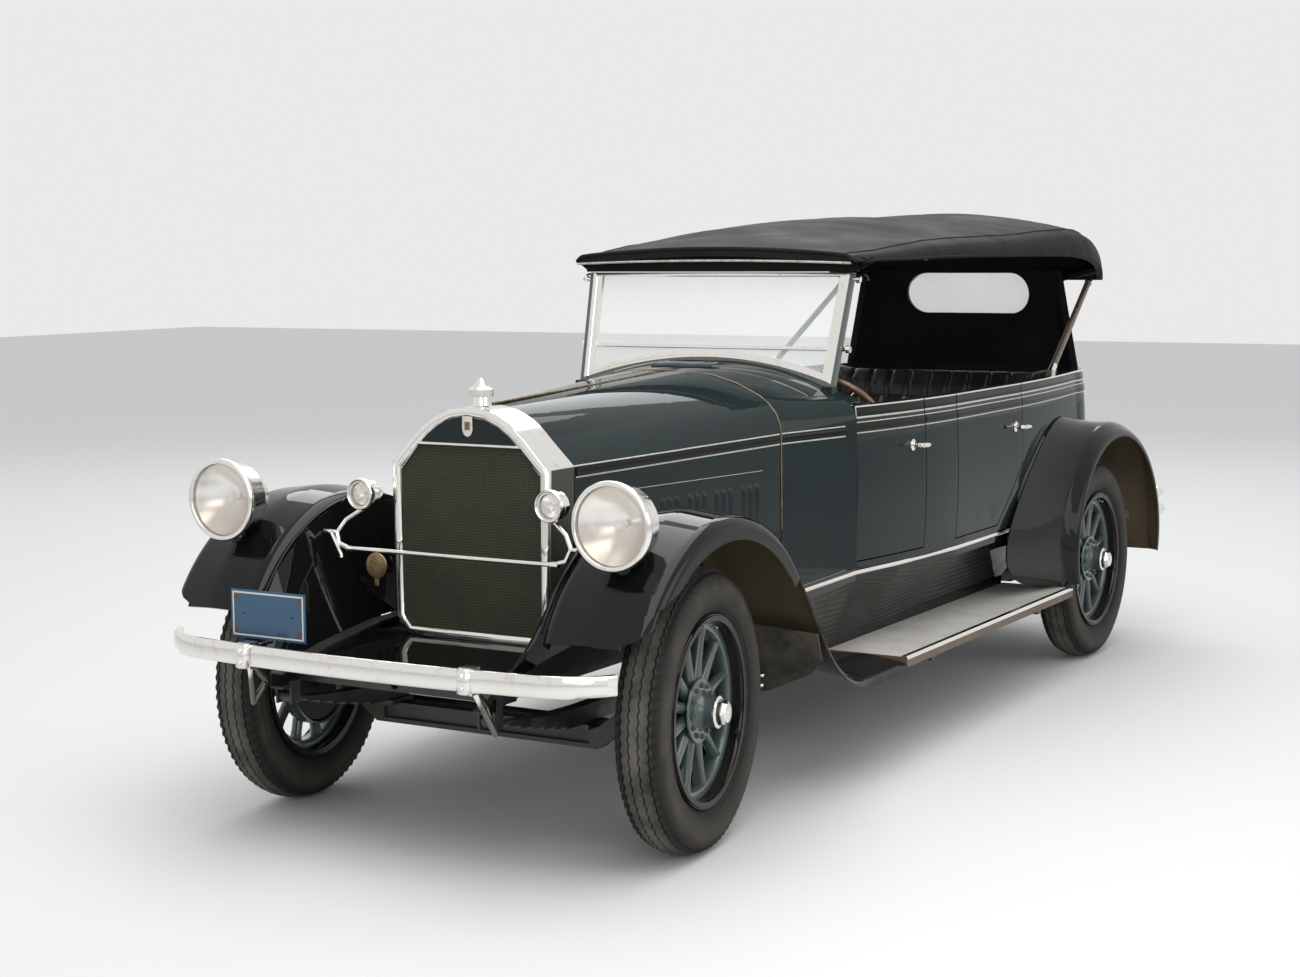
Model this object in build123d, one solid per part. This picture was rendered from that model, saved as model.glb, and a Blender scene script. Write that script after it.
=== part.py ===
from build123d import *
import os
from math import atan2, cos, degrees, hypot, pi, radians, sin, tan

# A 1920s open touring car on wooden artillery wheels, with its fabric top raised.
# All sizes are in mm. +X is the car's left, its front faces -Y, +Z is up. y is counted rearwards
# from the front axle here, and the whole car is moved at the end, so that its box is centred on x, y.

# Whole car
wheelbase = 3454
track = 1422
steer_at_rest = 6.6
seat_gap = 0.3
panel_gap = 5
running_fit = 0.05

# Wheels and tyres, on the wheel's own axis: x is outboard of the tyre's middle
tyre_radius = 419
tyre_width = 150
rim_radius = 268
rim_flange_radius = 283
rim_half_width = 62
felloe_inner_radius = 236
felloe_half_width = 24
spoke_count = 12
spoke_root_radius = 21
spoke_tip_radius = 14
hub_flange_radius = 95
hub_flange_x = 30
hub_barrel_radius = 44
hub_barrel_end = 84
hub_cap_flats = 66
hub_cap_end = 120
drum_radius = 178
drum_inner_x = -72
drum_outer_x = -20
drum_wall = 8
spindle_radius = 19

# Front axle, knuckles and tie rod
kingpin_inset = 132
kingpin_radius = 12
axle_boss_radius = 27
axle_boss_height = 84
axle_beam_depth = 66
axle_beam_width = 50
axle_beam_web = 16
axle_drop = 110
axle_pad_x = 362
arm_length = 150
arm_drop = 78
tie_rod_radius = 14

# Frame
rail_inner_front = 338
rail_inner_rear = 408
rail_flange = 50
rail_wall = 6
frame_top = 622
frame_depth = 150
horn_y = -560
frame_tail_y = wheelbase + 671
axle_kick = 92
crank_hole_radius = 14
board_iron_y = (1560, wheelbase - 834)
cross_members = (
    # y, z, depth, height
    (-440, 512, 60, 40),
    (-12, 563, 90, 39.4),
    (1600, 590, 90, 44),
    (wheelbase - 954, 560, 90, 44),
    (wheelbase + 300, 600, 80, 44),
)

# Springs: half spans, widths and the drop of their eyes
front_spring_reach = 510
front_spring_camber = 40
front_spring_width = 44
rear_spring_reach = 650
rear_spring_camber = 60
rear_spring_width = 44
leaf_count = 7
leaf_thick = 8

# Engine and gearbox
gearbox_rear_y = 1380
gearbox_z = 530

# Body
body_bottom = 650
body_top = 1214
body_wall = 40
cowl_front_y = 1090
cowl_rear_y = 1340
cowl_lip_y = 1412
body_max_half = 705
body_rear_y = wheelbase + 531
sill_height = 25
front_door = (1345, 1790)
rear_door = (2062, wheelbase - 724)
door_swing = 70
hinge_offset = 8
floor_board = 25
rear_deck = frame_top + axle_kick + seat_gap + floor_board

# Hood and radiator
hood_front_y = 62
hood_bottom = 800
hood_skin = 6
hood_swing = 62
radiator_front_y = -80
radiator_rear_y = 57
radiator_bottom = 583
radiator_shoulder_half = 288
shell_wall = 6

# Fenders and running boards
fender_crown_radius = 590
fender_center = (30, 420)
fender_inner = 500
fender_outer = 845
fender_skin = 6
fender_lip_radius = 505
board_top = 366
board_thick = 40
board_inner = 530
board_outer = 832
board_front_y = 1300
board_rear_y = wheelbase - 479
apron_front_y = 880

# Lamps
headlamp_at = (697, -400, 1005)
headlamp_radius = 124
lamp_pad_top = 885
lamp_post_back = 70
small_lamp_at = (345, -165, 1016)
small_lamp_radius = 48

# Windshield: bottom and top of the frame in side view
shield_foot = (1393, 1296)
shield_head = (1503, 1667)
shield_half_foot = 494
shield_half_head = 515
shield_pad_top = 1275
shield_side_bar = 26
shield_post_width = 26
shield_arch = 83

# Steering wheel
column_x = 360
column_foot = (1180, 760)
wheel_hub_at = (1690, 1130)
steering_wheel_radius = 215

# Bumper bar
bumper_z = 594
bumper_front_y = -673
bumper_height = 60
bumper_thick = 26
plate_x_middle = -389
plate_y = -560
plate_z = 695
plate_hole_spacing = 178

# Spare wheel
spare_y = wheelbase + 751
spare_z = 800
spare_half_width = 72

rear_end_y = spare_y + tyre_width / 2
middle_y = (bumper_front_y + rear_end_y) / 2


def block(x, y, z):
    """A box from its lowest and highest x, y and z."""
    size = [b - a for a, b in (x, y, z)]
    return Pos(sum(x) / 2, sum(y) / 2, sum(z) / 2) * Box(*size)


upright = (Align.CENTER, Align.CENTER, Align.MIN)


def rod(start, end, radius):
    """A round bar between two points."""
    a, b = Vector(start), Vector(end)
    return Plane(origin=a, z_dir=b - a) * Cylinder(radius, (b - a).length, align=upright)


def side_plate(points, x):
    """A plate cut to a side view of (y, z) points, between two x."""
    face = make_face(Polyline(*[(0, y, z) for y, z in points], close=True))
    return Pos(x[0], 0, 0) * extrude(face, x[1] - x[0], dir=(1, 0, 0))


def front_plate(points, y):
    """A plate cut to a front view of (x, z) points, between two y."""
    face = make_face(Polyline(*[(x, 0, z) for x, z in points], close=True))
    return Pos(0, y[0], 0) * extrude(face, y[1] - y[0], dir=(0, 1, 0))


def floor_plate(points, z):
    """A plate cut to a plan view of (x, y) points, between two z."""
    face = make_face(Polyline(*[(x, y, 0) for x, y in points], close=True))
    return Pos(0, 0, z[0]) * extrude(face, z[1] - z[0], dir=(0, 0, 1))


def turned(points, axis=Axis.X):
    """A solid turned about an axis from (along, radius) points."""
    if axis == Axis.X:
        corners = [(a, r, 0) for a, r in points]
    elif axis == Axis.Y:
        corners = [(r, a, 0) for a, r in points]
    else:
        corners = [(r, 0, a) for a, r in points]
    return revolve(make_face(Polyline(*corners, close=True)), axis)


def flipped(shape):
    """The same piece on the car's right."""
    return mirror(shape, Plane.YZ)


def pair(shape):
    """A piece and its mirror image, as two solids."""
    return Compound(children=[shape, flipped(shape)])


# Wheels and tyres
def tyre():
    w, r = tyre_width / 2, tyre_radius
    bead, shoulder = 52, 60
    inner, foot = rim_radius + seat_gap, rim_flange_radius + 6
    middle = (foot + r) / 2 - 6
    profile = Wire([
        Edge.make_line((-bead, inner, 0), (bead, inner, 0)),
        Edge.make_line((bead, inner, 0), (bead, foot, 0)),
        Edge.make_three_point_arc((bead, foot, 0), (w, middle, 0), (shoulder, r - 17, 0)),
        Edge.make_three_point_arc((shoulder, r - 17, 0), (0, r, 0), (-shoulder, r - 17, 0)),
        Edge.make_three_point_arc((-shoulder, r - 17, 0), (-w, middle, 0), (-bead, foot, 0)),
        Edge.make_line((-bead, foot, 0), (-bead, inner, 0)),
    ])
    return revolve(make_face(profile), Axis.X)


def rim():
    f, r, w = rim_flange_radius, rim_radius, rim_half_width
    return turned([(-w, f), (-w + 6, f), (-w + 9, r), (w - 9, r), (w - 6, f), (w, f),
                   (w - 2, r - 8), (-w + 2, r - 8)])


def wheel():
    """Rim, felloe, spokes, hub with its cap, and brake drum, with the spindle's bore."""
    felloe = turned([(-felloe_half_width, felloe_inner_radius), (felloe_half_width, felloe_inner_radius),
                     (felloe_half_width, rim_radius - 4), (-felloe_half_width, rim_radius - 4)])
    spoke_length = felloe_inner_radius + 6 - hub_barrel_radius
    spoke = Cone(spoke_root_radius, spoke_tip_radius, spoke_length, align=upright)
    spoke = Pos(0, 0, hub_barrel_radius) * spoke
    spokes = [Rot(360 / spoke_count * (i + 0.5), 0, 0) * spoke for i in range(spoke_count)]
    hub = turned([(drum_outer_x, 0), (drum_outer_x, 70), (hub_flange_x - 8, hub_flange_radius),
                  (hub_flange_x, hub_flange_radius), (hub_flange_x + 4, hub_barrel_radius + 8),
                  (hub_barrel_end, hub_barrel_radius), (hub_barrel_end, 0)])
    hexagon = RegularPolygon(hub_cap_flats / 2, 6, major_radius=False)
    cap = Pos(hub_barrel_end, 0, 0) * Rot(0, 90, 0) * extrude(hexagon, hub_cap_end - hub_barrel_end)
    skin = drum_radius - drum_wall
    drum = turned([(drum_inner_x, skin), (drum_inner_x, drum_radius), (drum_outer_x, drum_radius),
                   (drum_outer_x, 0), (drum_outer_x - drum_wall, 0), (drum_outer_x - drum_wall, skin)])
    boss_x = plate_x + 8
    boss = turned([(boss_x, 0), (boss_x, 42), (drum_outer_x, 42), (drum_outer_x, 0)])
    bore = turned([(drum_inner_x - 1, 0), (drum_inner_x - 1, spindle_radius + running_fit),
                   (60, spindle_radius + running_fit), (60, 0)])
    return (rim() + felloe + spokes + hub + cap + drum + boss) - bore


plate_x = drum_inner_x + drum_wall + 4

# Front axle: the kingpins stand kingpin_inset inboard of the tyres' middle
kingpin_x = track / 2 - kingpin_inset
hub_z = tyre_radius


def front_axle():
    half = axle_beam_depth / 2
    low = hub_z - axle_drop
    out = kingpin_x - axle_boss_radius + 6
    bend = axle_pad_x + 50
    outline = [(-out, hub_z + half), (-bend, low + half), (bend, low + half), (out, hub_z + half),
               (out, hub_z - half), (bend, low - half), (-bend, low - half), (-out, hub_z - half)]
    beam = front_plate(outline, (-axle_beam_width / 2, axle_beam_width / 2))
    flange = 14
    pocket = [(-bend + 30, low + half - flange), (bend - 30, low + half - flange),
              (bend - 30, low - half + flange), (-bend + 30, low - half + flange)]
    for side in (1, -1):
        beam -= front_plate(pocket, tuple(sorted((side * axle_beam_web / 2, side * axle_beam_width))))
    for side in (1, -1):
        beam += Pos(side * kingpin_x, 0, hub_z) * Cylinder(axle_boss_radius, axle_boss_height)
        beam += Pos(side * axle_pad_x, 0, low + half + 4) * Box(76, 110, 16)
    for side in (1, -1):
        beam -= Pos(side * kingpin_x, 0, hub_z) * Cylinder(kingpin_radius + running_fit, axle_boss_height + 2)
    return beam


def backing_plate(x):
    return Pos(x, 0, 0) * Rot(0, 90, 0) * Cylinder(drum_radius - drum_wall - 6, 6)


def knuckle():
    """Left knuckle about its kingpin: two ears, pin, spindle, brake plate and tie rod arm."""
    ear_gap = axle_boss_height / 2 + seat_gap
    ear = 22
    body = block((axle_boss_radius + 6, axle_boss_radius + 28), (-34, 34), (-ear_gap - ear, ear_gap + ear))
    for side in (1, -1):
        z = side * (ear_gap + ear / 2)
        body += Pos(0, 0, z) * Cylinder(axle_boss_radius, ear)
        body += Pos((axle_boss_radius + 10) / 2, 0, z) * Box(axle_boss_radius + 10, 2 * axle_boss_radius, ear)
    body += Cylinder(kingpin_radius, 2 * (ear_gap + ear) + 12)
    body += rod((axle_boss_radius + 20, 0, 0), (kingpin_inset + 52, 0, 0), spindle_radius)
    body += Pos(kingpin_inset, 0, 0) * backing_plate(plate_x)
    body += rod((axle_boss_radius + 20, 0, 0), (kingpin_inset + plate_x, 0, 0), 32)
    arm = rod((0, 20, -arm_drop + 14), (0, arm_length, -arm_drop + 14), 13)
    body += arm + Pos(0, arm_length, -arm_drop + 14) * Cylinder(20, 30)
    body += rod((0, arm_length, -arm_drop - 40), (0, arm_length, -arm_drop + 5), 9)
    body += block((-15, 15), (4, 40), (-arm_drop - 2, -ear_gap - 4))
    return body


def tie_rod():
    """The rod, with an eye on each knuckle's pin, about its left eye."""
    length = 2 * kingpin_x
    eye = Cylinder(19, 24) - Cylinder(9 + 0.5, 26)
    tube = rod((-16, 0, 0), (-length + 16, 0, 0), tie_rod_radius)
    tube -= Cylinder(15, 30) + Pos(-length, 0, 0) * Cylinder(15, 30)
    return eye + Pos(-length, 0, 0) * eye + tube


def at_kingpin(shape, side):
    """Turns a piece of a knuckle by the steering angle at rest, and sets it on its kingpin."""
    return Pos(side * kingpin_x, 0, hub_z) * Rot(0, 0, steer_at_rest) * shape


arm_end = (-arm_length * sin(radians(steer_at_rest)), arm_length * cos(radians(steer_at_rest)))
tie_z = hub_z - arm_drop - 26


front_spring_top = hub_z - axle_drop + axle_beam_depth / 2 + 12 + leaf_count * leaf_thick + seat_gap
rear_spring_top = hub_z - 44
front_eye_z = front_spring_top + front_spring_camber
rear_eye_z = rear_spring_top + rear_spring_camber
rear_spring_x = rail_inner_rear + rail_flange / 2


# Frame
def spring_hanger(x, y, z, top, width):
    """Two cheeks beside a spring's eye, hung from the rail above it."""
    cheeks = None
    for side in (1, -1):
        near, far = side * (width / 2 + seat_gap), side * (width / 2 + 8)
        cheek = block(sorted((x + near, x + far)), (y - 20, y + 20), (z - 20, top))
        cheeks = cheek if cheeks is None else cheeks + cheek
    return cheeks


def frame():
    """Two channel rails with cross members, spring hangers and running board irons."""
    def rail_plan(inset):
        a, b, w = rail_inner_front + inset, rail_inner_rear + inset, rail_flange
        if not inset:
            return [(a, horn_y), (a, 500), (b, 1500), (b, frame_tail_y), (b + w, frame_tail_y),
                    (b + w, 1500), (a + w, 500), (a + w, horn_y)]
        return [(a - 2 * inset, horn_y), (a - 2 * inset, 500), (b - 2 * inset, 1500),
                (b - 2 * inset, frame_tail_y), (b + w - 2 * inset, frame_tail_y), (b + w - 2 * inset, 1500),
                (a + w - 2 * inset, 500), (a + w - 2 * inset, horn_y)]

    def rail_side(t):
        top, low = frame_top - t, frame_top - frame_depth + t
        rear = wheelbase
        return [(horn_y - t, 528 - t), (-330, 578 - t), (-80, 612 - t), (300, top), (rear - 620, top),
                (rear - 330, top + axle_kick), (rear + 230, top + axle_kick), (frame_tail_y + t, 560 - t),
                (frame_tail_y + t, 500 + t), (rear + 200, low + axle_kick + 50),
                (rear - 300, low + axle_kick + 50),
                (rear - 620, low), (400, low), (-60, 535 + t), (-330, 512 + t), (horn_y - t, 480 + t)]

    rail = floor_plate(rail_plan(0), (300, 900)) & side_plate(rail_side(0), (300, 520))
    rail -= floor_plate(rail_plan(rail_wall), (300, 900)) & side_plate(rail_side(rail_wall), (300, 520))
    for y, z, top in ((-front_spring_reach, front_eye_z, 500), (front_spring_reach, front_eye_z, 490)):
        rail += spring_hanger(axle_pad_x, y, z, top, front_spring_width)
    for y, top in ((wheelbase - rear_spring_reach, 500), (wheelbase + rear_spring_reach, 520)):
        rail += spring_hanger(rear_spring_x, y, rear_eye_z, top, rear_spring_width)
    for y in board_iron_y:
        under = board_top - board_thick
        rail += rod((rail_inner_rear + 42, y, 500), (518, y, under - 8), 9)
        rail += block((505, board_outer - 12), (y - 18, y + 18), (under - 14, under - seat_gap))
    frame_solid = rail + flipped(rail)
    for y, z, depth, height in cross_members:
        reach = (rail_inner_front if y < 900 else rail_inner_rear) + rail_flange - 3
        frame_solid += Pos(0, y, z) * Box(2 * reach, depth, height)
    crank_y, crank_z, depth = cross_members[0][:3]
    frame_solid -= rod((0, crank_y - depth, crank_z), (0, crank_y + depth, crank_z), crank_hole_radius)
    return frame_solid


def leaf_spring(span, camber, count, thick, width):
    """A stack of leaves, longest on top, with an eye at each end; its middle is the origin's top."""
    stack = None
    for i in range(count):
        half = span / 2 * (1 - i * 0.82 / count)
        rise = camber * (half / (span / 2)) ** 2
        z = -i * thick
        outer = Edge.make_three_point_arc((0, -half, z + rise), (0, 0, z), (0, half, z + rise))
        low = z - thick
        inner = Edge.make_three_point_arc((0, half, low + rise), (0, 0, low), (0, -half, low + rise))
        ends = [Edge.make_line(outer @ 1, inner @ 0), Edge.make_line(inner @ 1, outer @ 0)]
        leaf = extrude(make_face(Wire([outer, ends[0], inner, ends[1]])), width / 2, dir=(1, 0, 0), both=True)
        stack = leaf if stack is None else stack + leaf
    for end in (-1, 1):
        stack += Pos(0, end * span / 2, camber) * Rot(0, 90, 0) * Cylinder(17, width)
    return stack


def leaf_springs():
    front = leaf_spring(2 * front_spring_reach, front_spring_camber, leaf_count, leaf_thick,
                        front_spring_width)
    rear = leaf_spring(2 * rear_spring_reach, rear_spring_camber, leaf_count, leaf_thick, rear_spring_width)
    front = Pos(axle_pad_x, 0, front_spring_top) * front
    rear = Pos(rear_spring_x, wheelbase, rear_spring_top) * rear
    return Compound(children=[front, flipped(front), rear, flipped(rear)])


def rear_axle():
    """Banjo housing, axle tubes with brake plates, spring seats and stub spindles, and the torque tube."""
    housing = Pos(0, wheelbase, hub_z) * Sphere(150)
    housing &= Pos(0, wheelbase, hub_z) * Box(260, 320, 320)
    half = track / 2
    housing += rod((-half + 66, wheelbase, hub_z), (half - 66, wheelbase, hub_z), 38)
    for side in (1, -1):
        stub = (side * (half - 70), wheelbase, hub_z), (side * (half + 52), wheelbase, hub_z)
        housing += rod(*stub, spindle_radius)
        housing += Pos(side * half, wheelbase, hub_z) * backing_plate(side * plate_x)
        x, low = side * rear_spring_x, rear_spring_top + seat_gap
        housing += block((x - 26, x + 26), (wheelbase - 35, wheelbase + 35), (low, hub_z - 20))
    joint_y = gearbox_rear_y + 45 + seat_gap
    housing += rod((0, wheelbase - 60, hub_z), (0, joint_y, gearbox_z), 36)
    return housing + Pos(0, joint_y, gearbox_z) * Sphere(45)


def engine():
    """One block for the engine, with the clutch housing and gearbox that show from below."""
    body = block((-190, 190), (150, 900), (430, 1020))
    body += Plane(origin=(0, 900, 560), z_dir=(0, 1, 0)) * Cone(170, 105, 160, align=upright)
    body += block((-105, 105), (1060, gearbox_rear_y), (455, 617))
    for side in (1, -1):
        arm = sorted((side * 180, side * (rail_inner_front - seat_gap)))
        body += block(arm, (300, 350), (540, 585))
    return body


def exhaust():
    x, z = 250, 430
    box_end, pipe_end = wheelbase - 1004, wheelbase - 614
    pipe = rod((190 + seat_gap, 560, 760), (x, 560, 760), 24) + rod((x, 560, 760), (x, 700, z), 24)
    pipe += rod((x, 700, z), (x, 1700, z), 24) + rod((x, 1700, z), (x, box_end, z), 66)
    pipe += rod((x, box_end, z), (x, pipe_end, z), 20)
    return pipe + Pos(x, 560, 760) * Sphere(24) + Pos(x, 700, z) * Sphere(24)


def fuel_tank():
    y = wheelbase + 376
    tank = block((-390, 390), (y, y + 240), (330, 560))
    tank = fillet(tank.edges().filter_by(Axis.X), 70)
    ear = block((340, rail_inner_rear - seat_gap), (y + 70, y + 130), (530, 600))
    return tank + ear + flipped(ear)


# Body: the tub is lofted between plans at three heights
def tub_plan(z, inset, start_y=cowl_rear_y + panel_gap):
    """Closed plan of the tub at height z, set in by inset; lines and arcs."""
    side = body_max_half - inset
    back = body_rear_y
    p = [(side - 80, start_y), (side - 33, 1620), (side, 2070), (side, back - 1295), (side - 22, back - 835),
         (side - 65, back - 425), (side - 118 - 0.1 * inset, back - 185 - 0.5 * inset),
         (470 - 0.4 * inset, back - 55 - 0.9 * inset), (240, back - 10 - inset), (0, back - inset)]
    q = [(x, y, z) for x, y in p]
    m = [(-x, y, z) for x, y in p]
    edges = [
        Edge.make_three_point_arc(q[0], q[1], q[2]), Edge.make_line(q[2], q[3]),
        Edge.make_three_point_arc(q[3], q[4], q[5]), Edge.make_three_point_arc(q[5], q[6], q[7]),
        Edge.make_three_point_arc(q[7], q[8], q[9]), Edge.make_three_point_arc(m[9], m[8], m[7]),
        Edge.make_three_point_arc(m[7], m[6], m[5]), Edge.make_three_point_arc(m[5], m[4], m[3]),
        Edge.make_line(m[3], m[2]), Edge.make_three_point_arc(m[2], m[1], m[0]), Edge.make_line(m[0], q[0])]
    return make_face(Wire(edges))


tub_heights = ((body_bottom, 12), (960, 0), (body_top, 14))


def tub_shell():
    outer = loft([tub_plan(z, inset) for z, inset in tub_heights])
    grown = ((body_bottom - 20, 12), tub_heights[1], (body_top + 20, 14))
    inner = loft([tub_plan(z, inset + body_wall, cowl_rear_y - 40) for z, inset in grown])
    return outer - inner


def door_outline(span, clear):
    """Side view of a door between its front and rear edges, with a clearance all round."""
    a, b = span[0] - clear, span[1] + clear
    low = body_bottom + sill_height - clear
    points = [(a, low), (b, low), (b, body_top + 60), (a, body_top + 60)]
    if span == rear_door:
        points = [(a, low), (b - 250, low), (b - 118, 790 - clear), (b, 905 - clear), (b, body_top + 60),
                  (a, body_top + 60)]
    return points


def door(span, handle_y, handle_z):
    panel = tub_shell() & side_plate(door_outline(span, 0), (300, 900))
    surface = body_max_half - (24 if handle_y < 1800 else 2)
    handle = rod((surface - 12, handle_y, handle_z), (surface + 36, handle_y, handle_z), 8)
    handle += rod((surface - 4, handle_y, handle_z), (surface + 4, handle_y, handle_z), 17)
    lever = rod((surface + 36, handle_y - 34, handle_z + 3), (surface + 36, handle_y + 70, handle_z - 4), 7)
    return panel + handle + lever


def wheelhouse(radius, x):
    return Pos(0, wheelbase, hub_z) * rod((x, 0, 0), (body_max_half + 60, 0, 0), radius)


def body_tub():
    """The open tub: hollow, with door openings, and a wheelhouse over each rear tyre."""
    tub = tub_shell()
    outer = loft([tub_plan(z, inset) for z, inset in tub_heights])
    liner = (wheelhouse(500, 588) & outer) - wheelhouse(480, 624)
    pad = block((595, 650), (wheelbase + 46, wheelbase + 106), (925, 975))
    for side in (1, -1):
        opening, lining, seat_pad = wheelhouse(480, 624), liner, pad
        if side < 0:
            opening, lining, seat_pad = flipped(opening), flipped(lining), flipped(seat_pad)
        tub = tub - opening + lining + seat_pad
    for span in (front_door, rear_door):
        cut = side_plate(door_outline(span, panel_gap), (300, 900))
        tub = tub - cut - flipped(cut)
    return tub


# Cowl and hood share their sections: half width, shoulder, break, top
def arch_section(y, half, bottom, shoulder, break_point, top, via, inset=0):
    """Closed right-handed half section of the hood or cowl at y."""
    w, zs = half - inset, shoulder - inset * 0.4
    bx, bz = break_point[0] - inset * 0.6, break_point[1] - inset * 0.8
    zt = top - inset
    v1 = (via[0][0] - inset * 0.8, via[0][1] - inset * 0.6)
    v2 = (via[1][0], via[1][1] - inset)
    return make_face(Wire([
        Edge.make_line((0, y, bottom), (w, y, bottom)), Edge.make_line((w, y, bottom), (w, y, zs)),
        Edge.make_three_point_arc((w, y, zs), (v1[0], y, v1[1]), (bx, y, bz)),
        Edge.make_three_point_arc((bx, y, bz), (v2[0], y, v2[1]), (0, y, zt)),
        Edge.make_line((0, y, zt), (0, y, bottom))]))


sections = {
    "hood_front": dict(half=286, shoulder=1100, break_point=(200, 1192), top=1286,
                       via=((248, 1148), (108, 1262))),
    "hood_rear": dict(half=460, shoulder=1131, break_point=(380, 1257), top=1334,
                      via=((441, 1198), (200, 1322))),
    "cowl_rear": dict(half=625, shoulder=1168, break_point=(530, 1245), top=1346,
                      via=((602, 1214), (290, 1324))),
    "cowl_lip": dict(half=641, shoulder=1170, break_point=(544, 1247), top=1353,
                     via=((617, 1215), (299, 1329))),
}


def hood_half():
    y0, y1 = hood_front_y, cowl_front_y - panel_gap
    front, rear = sections["hood_front"], sections["hood_rear"]
    outer = loft([arch_section(y0, bottom=hood_bottom, **front),
                  arch_section(y1, bottom=hood_bottom, **rear)])
    inner = loft([arch_section(y0, bottom=hood_bottom - 9, inset=hood_skin, **front),
                  arch_section(y1, bottom=hood_bottom - 9, inset=hood_skin, **rear)])
    half = outer - inner - block((-2, 1), (y0 - 5, y1 + 5), (hood_bottom - 20, 1400))
    return half


def cowl_loft(inset, low, rear=True):
    """Right-handed half of the cowl, out to its lip under the windshield."""
    rows = [(cowl_front_y, "hood_rear"), (cowl_rear_y, "cowl_rear")]
    half = loft([arch_section(y, bottom=low, inset=inset, **sections[name]) for y, name in rows])
    rows = [(cowl_rear_y, "cowl_rear"), (cowl_lip_y, "cowl_lip")]
    return half + loft([arch_section(y, bottom=low, inset=inset, **sections[name]) for y, name in rows])


def cowl():
    half = cowl_loft(0, body_bottom) - cowl_loft(body_wall / 2, body_bottom - 9)
    half -= block((0, 800), (cowl_rear_y, cowl_lip_y + 5), (body_bottom - 5, body_top + 8))
    pad = block((484, 524), (1350, 1396), (1240, shield_pad_top))
    half += pad
    shell = half + flipped(half)
    front = sections["hood_rear"]
    face = arch_section(cowl_front_y + 4, bottom=body_bottom, inset=6, **front)
    bulkhead = extrude(face, 20, dir=(0, 1, 0))
    return shell + bulkhead + flipped(bulkhead) - column_hole(22.5)


def dashboard():
    """The instrument board, fitted to the inside of the cowl."""
    half = cowl_loft(body_wall / 2 + seat_gap, body_bottom) & block((0, 800), (1318, 1334), (1150, 1400))
    return half + flipped(half)


def radiator_outline(inset):
    """Half outline of the shell from the bottom middle round to the top middle."""
    w, i = radiator_shoulder_half - inset, inset
    return [(0, radiator_bottom + i), (233 - i * 0.4, radiator_bottom + i), (278 - i, 627 + i * 0.4),
            (w, 1110 - i * 0.3), (200 - i * 0.5, 1196 - i * 0.7)]


def radiator_face(y, inset):
    p = [(x, y, z) for x, z in radiator_outline(inset)]
    m = [(-x, y, z) for x, _, z in p]
    lines = [Edge.make_line(a, b) for a, b in zip(p, p[1:])]
    back = [Edge.make_line(b, a) for a, b in zip(m, m[1:])][::-1]
    crown = Edge.make_three_point_arc(p[-1], (0, y, 1288 - inset), m[-1])
    return make_face(Wire(lines + [crown] + back))


def core_outline(grow):
    """Half of the octagonal core opening."""
    g = grow
    return [(221 + g * 0.4, 594 - g), (255 + g, 638 - g * 0.4), (255 + g, 1090 + g * 0.4),
            (187 + g * 0.4, 1168 + g)]


def core_prism(grow, y):
    half = core_outline(grow)
    return front_plate(half + [(-x, z) for x, z in reversed(half)], y)


def radiator_shell():
    depth = radiator_rear_y - radiator_front_y
    case = extrude(radiator_face(radiator_front_y, 0), depth, dir=(0, 1, 0))
    case -= extrude(radiator_face(radiator_front_y + 10, shell_wall), depth, dir=(0, 1, 0))
    case -= core_prism(0, (radiator_front_y - 5, radiator_front_y + 20))
    return case


def radiator_core():
    return core_prism(4, (radiator_front_y + 10 + seat_gap, radiator_rear_y - 4))


def radiator_cap():
    foot = 1288 + seat_gap
    return Pos(0, -12, 0) * turned([(foot, 0), (foot, 26), (foot + 26, 22), (foot + 28, 38), (foot + 50, 38),
                                   (foot + 58, 24), (foot + 84, 8), (foot + 84, 0)], Axis.Z)


# Fenders
def skin_section(points, radii, thick):
    """A bent sheet seen end on: open (u, v) points with a radius at each bend, thickness inwards."""
    def offset_points(t):
        out = []
        for i, (u, v) in enumerate(points):
            normals = []
            if i > 0:
                a = points[i - 1]
                d = hypot(u - a[0], v - a[1])
                normals.append((-(v - a[1]) / d, (u - a[0]) / d))
            if i < len(points) - 1:
                b = points[i + 1]
                d = hypot(b[0] - u, b[1] - v)
                normals.append((-(b[1] - v) / d, (b[0] - u) / d))
            nu, nv = sum(n[0] for n in normals), sum(n[1] for n in normals)
            scale = t * len(normals) / (nu * nu + nv * nv)
            out.append((u + nu * scale, v + nv * scale))
        return out
    inner = offset_points(thick)
    a = FilletPolyline(*points, radius=radii)
    b = FilletPolyline(*inner, radius=[r - thick for r in radii])
    ends = [Line(points[-1], inner[-1]), Line(inner[0], points[0])]
    return make_face([a, ends[0], b, ends[1]])


def fender_path(under=0):
    """Side view of the front fender's crown, or of a line under it, over the wheel to the running board."""
    cy, cz = fender_center
    r = fender_crown_radius - under
    low = board_top - under
    start, leave = radians(153), radians(38)

    def on_arc(angle):
        return (0, cy + r * cos(angle), cz + r * sin(angle))

    sweep_r = 430 + under
    turn = pi / 2 - leave
    drop = sweep_r * (1 - cos(turn))
    a = on_arc(leave)
    run = (a[2] - drop - low) / cos(leave)
    b = (0, a[1] + run * sin(leave), a[2] - run * cos(leave))
    c = (0, b[1] + sweep_r * sin(turn), low)
    mid = (0, b[1] + sweep_r * (sin(turn) - sin(turn / 2)), low + sweep_r * (1 - cos(turn / 2)))
    return Wire([
        Edge.make_three_point_arc(on_arc(start), on_arc((start + leave) / 2), a),
        Edge.make_line(a, b), Edge.make_three_point_arc(b, mid, c),
        Edge.make_line(c, (0, board_front_y, low))])


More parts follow.
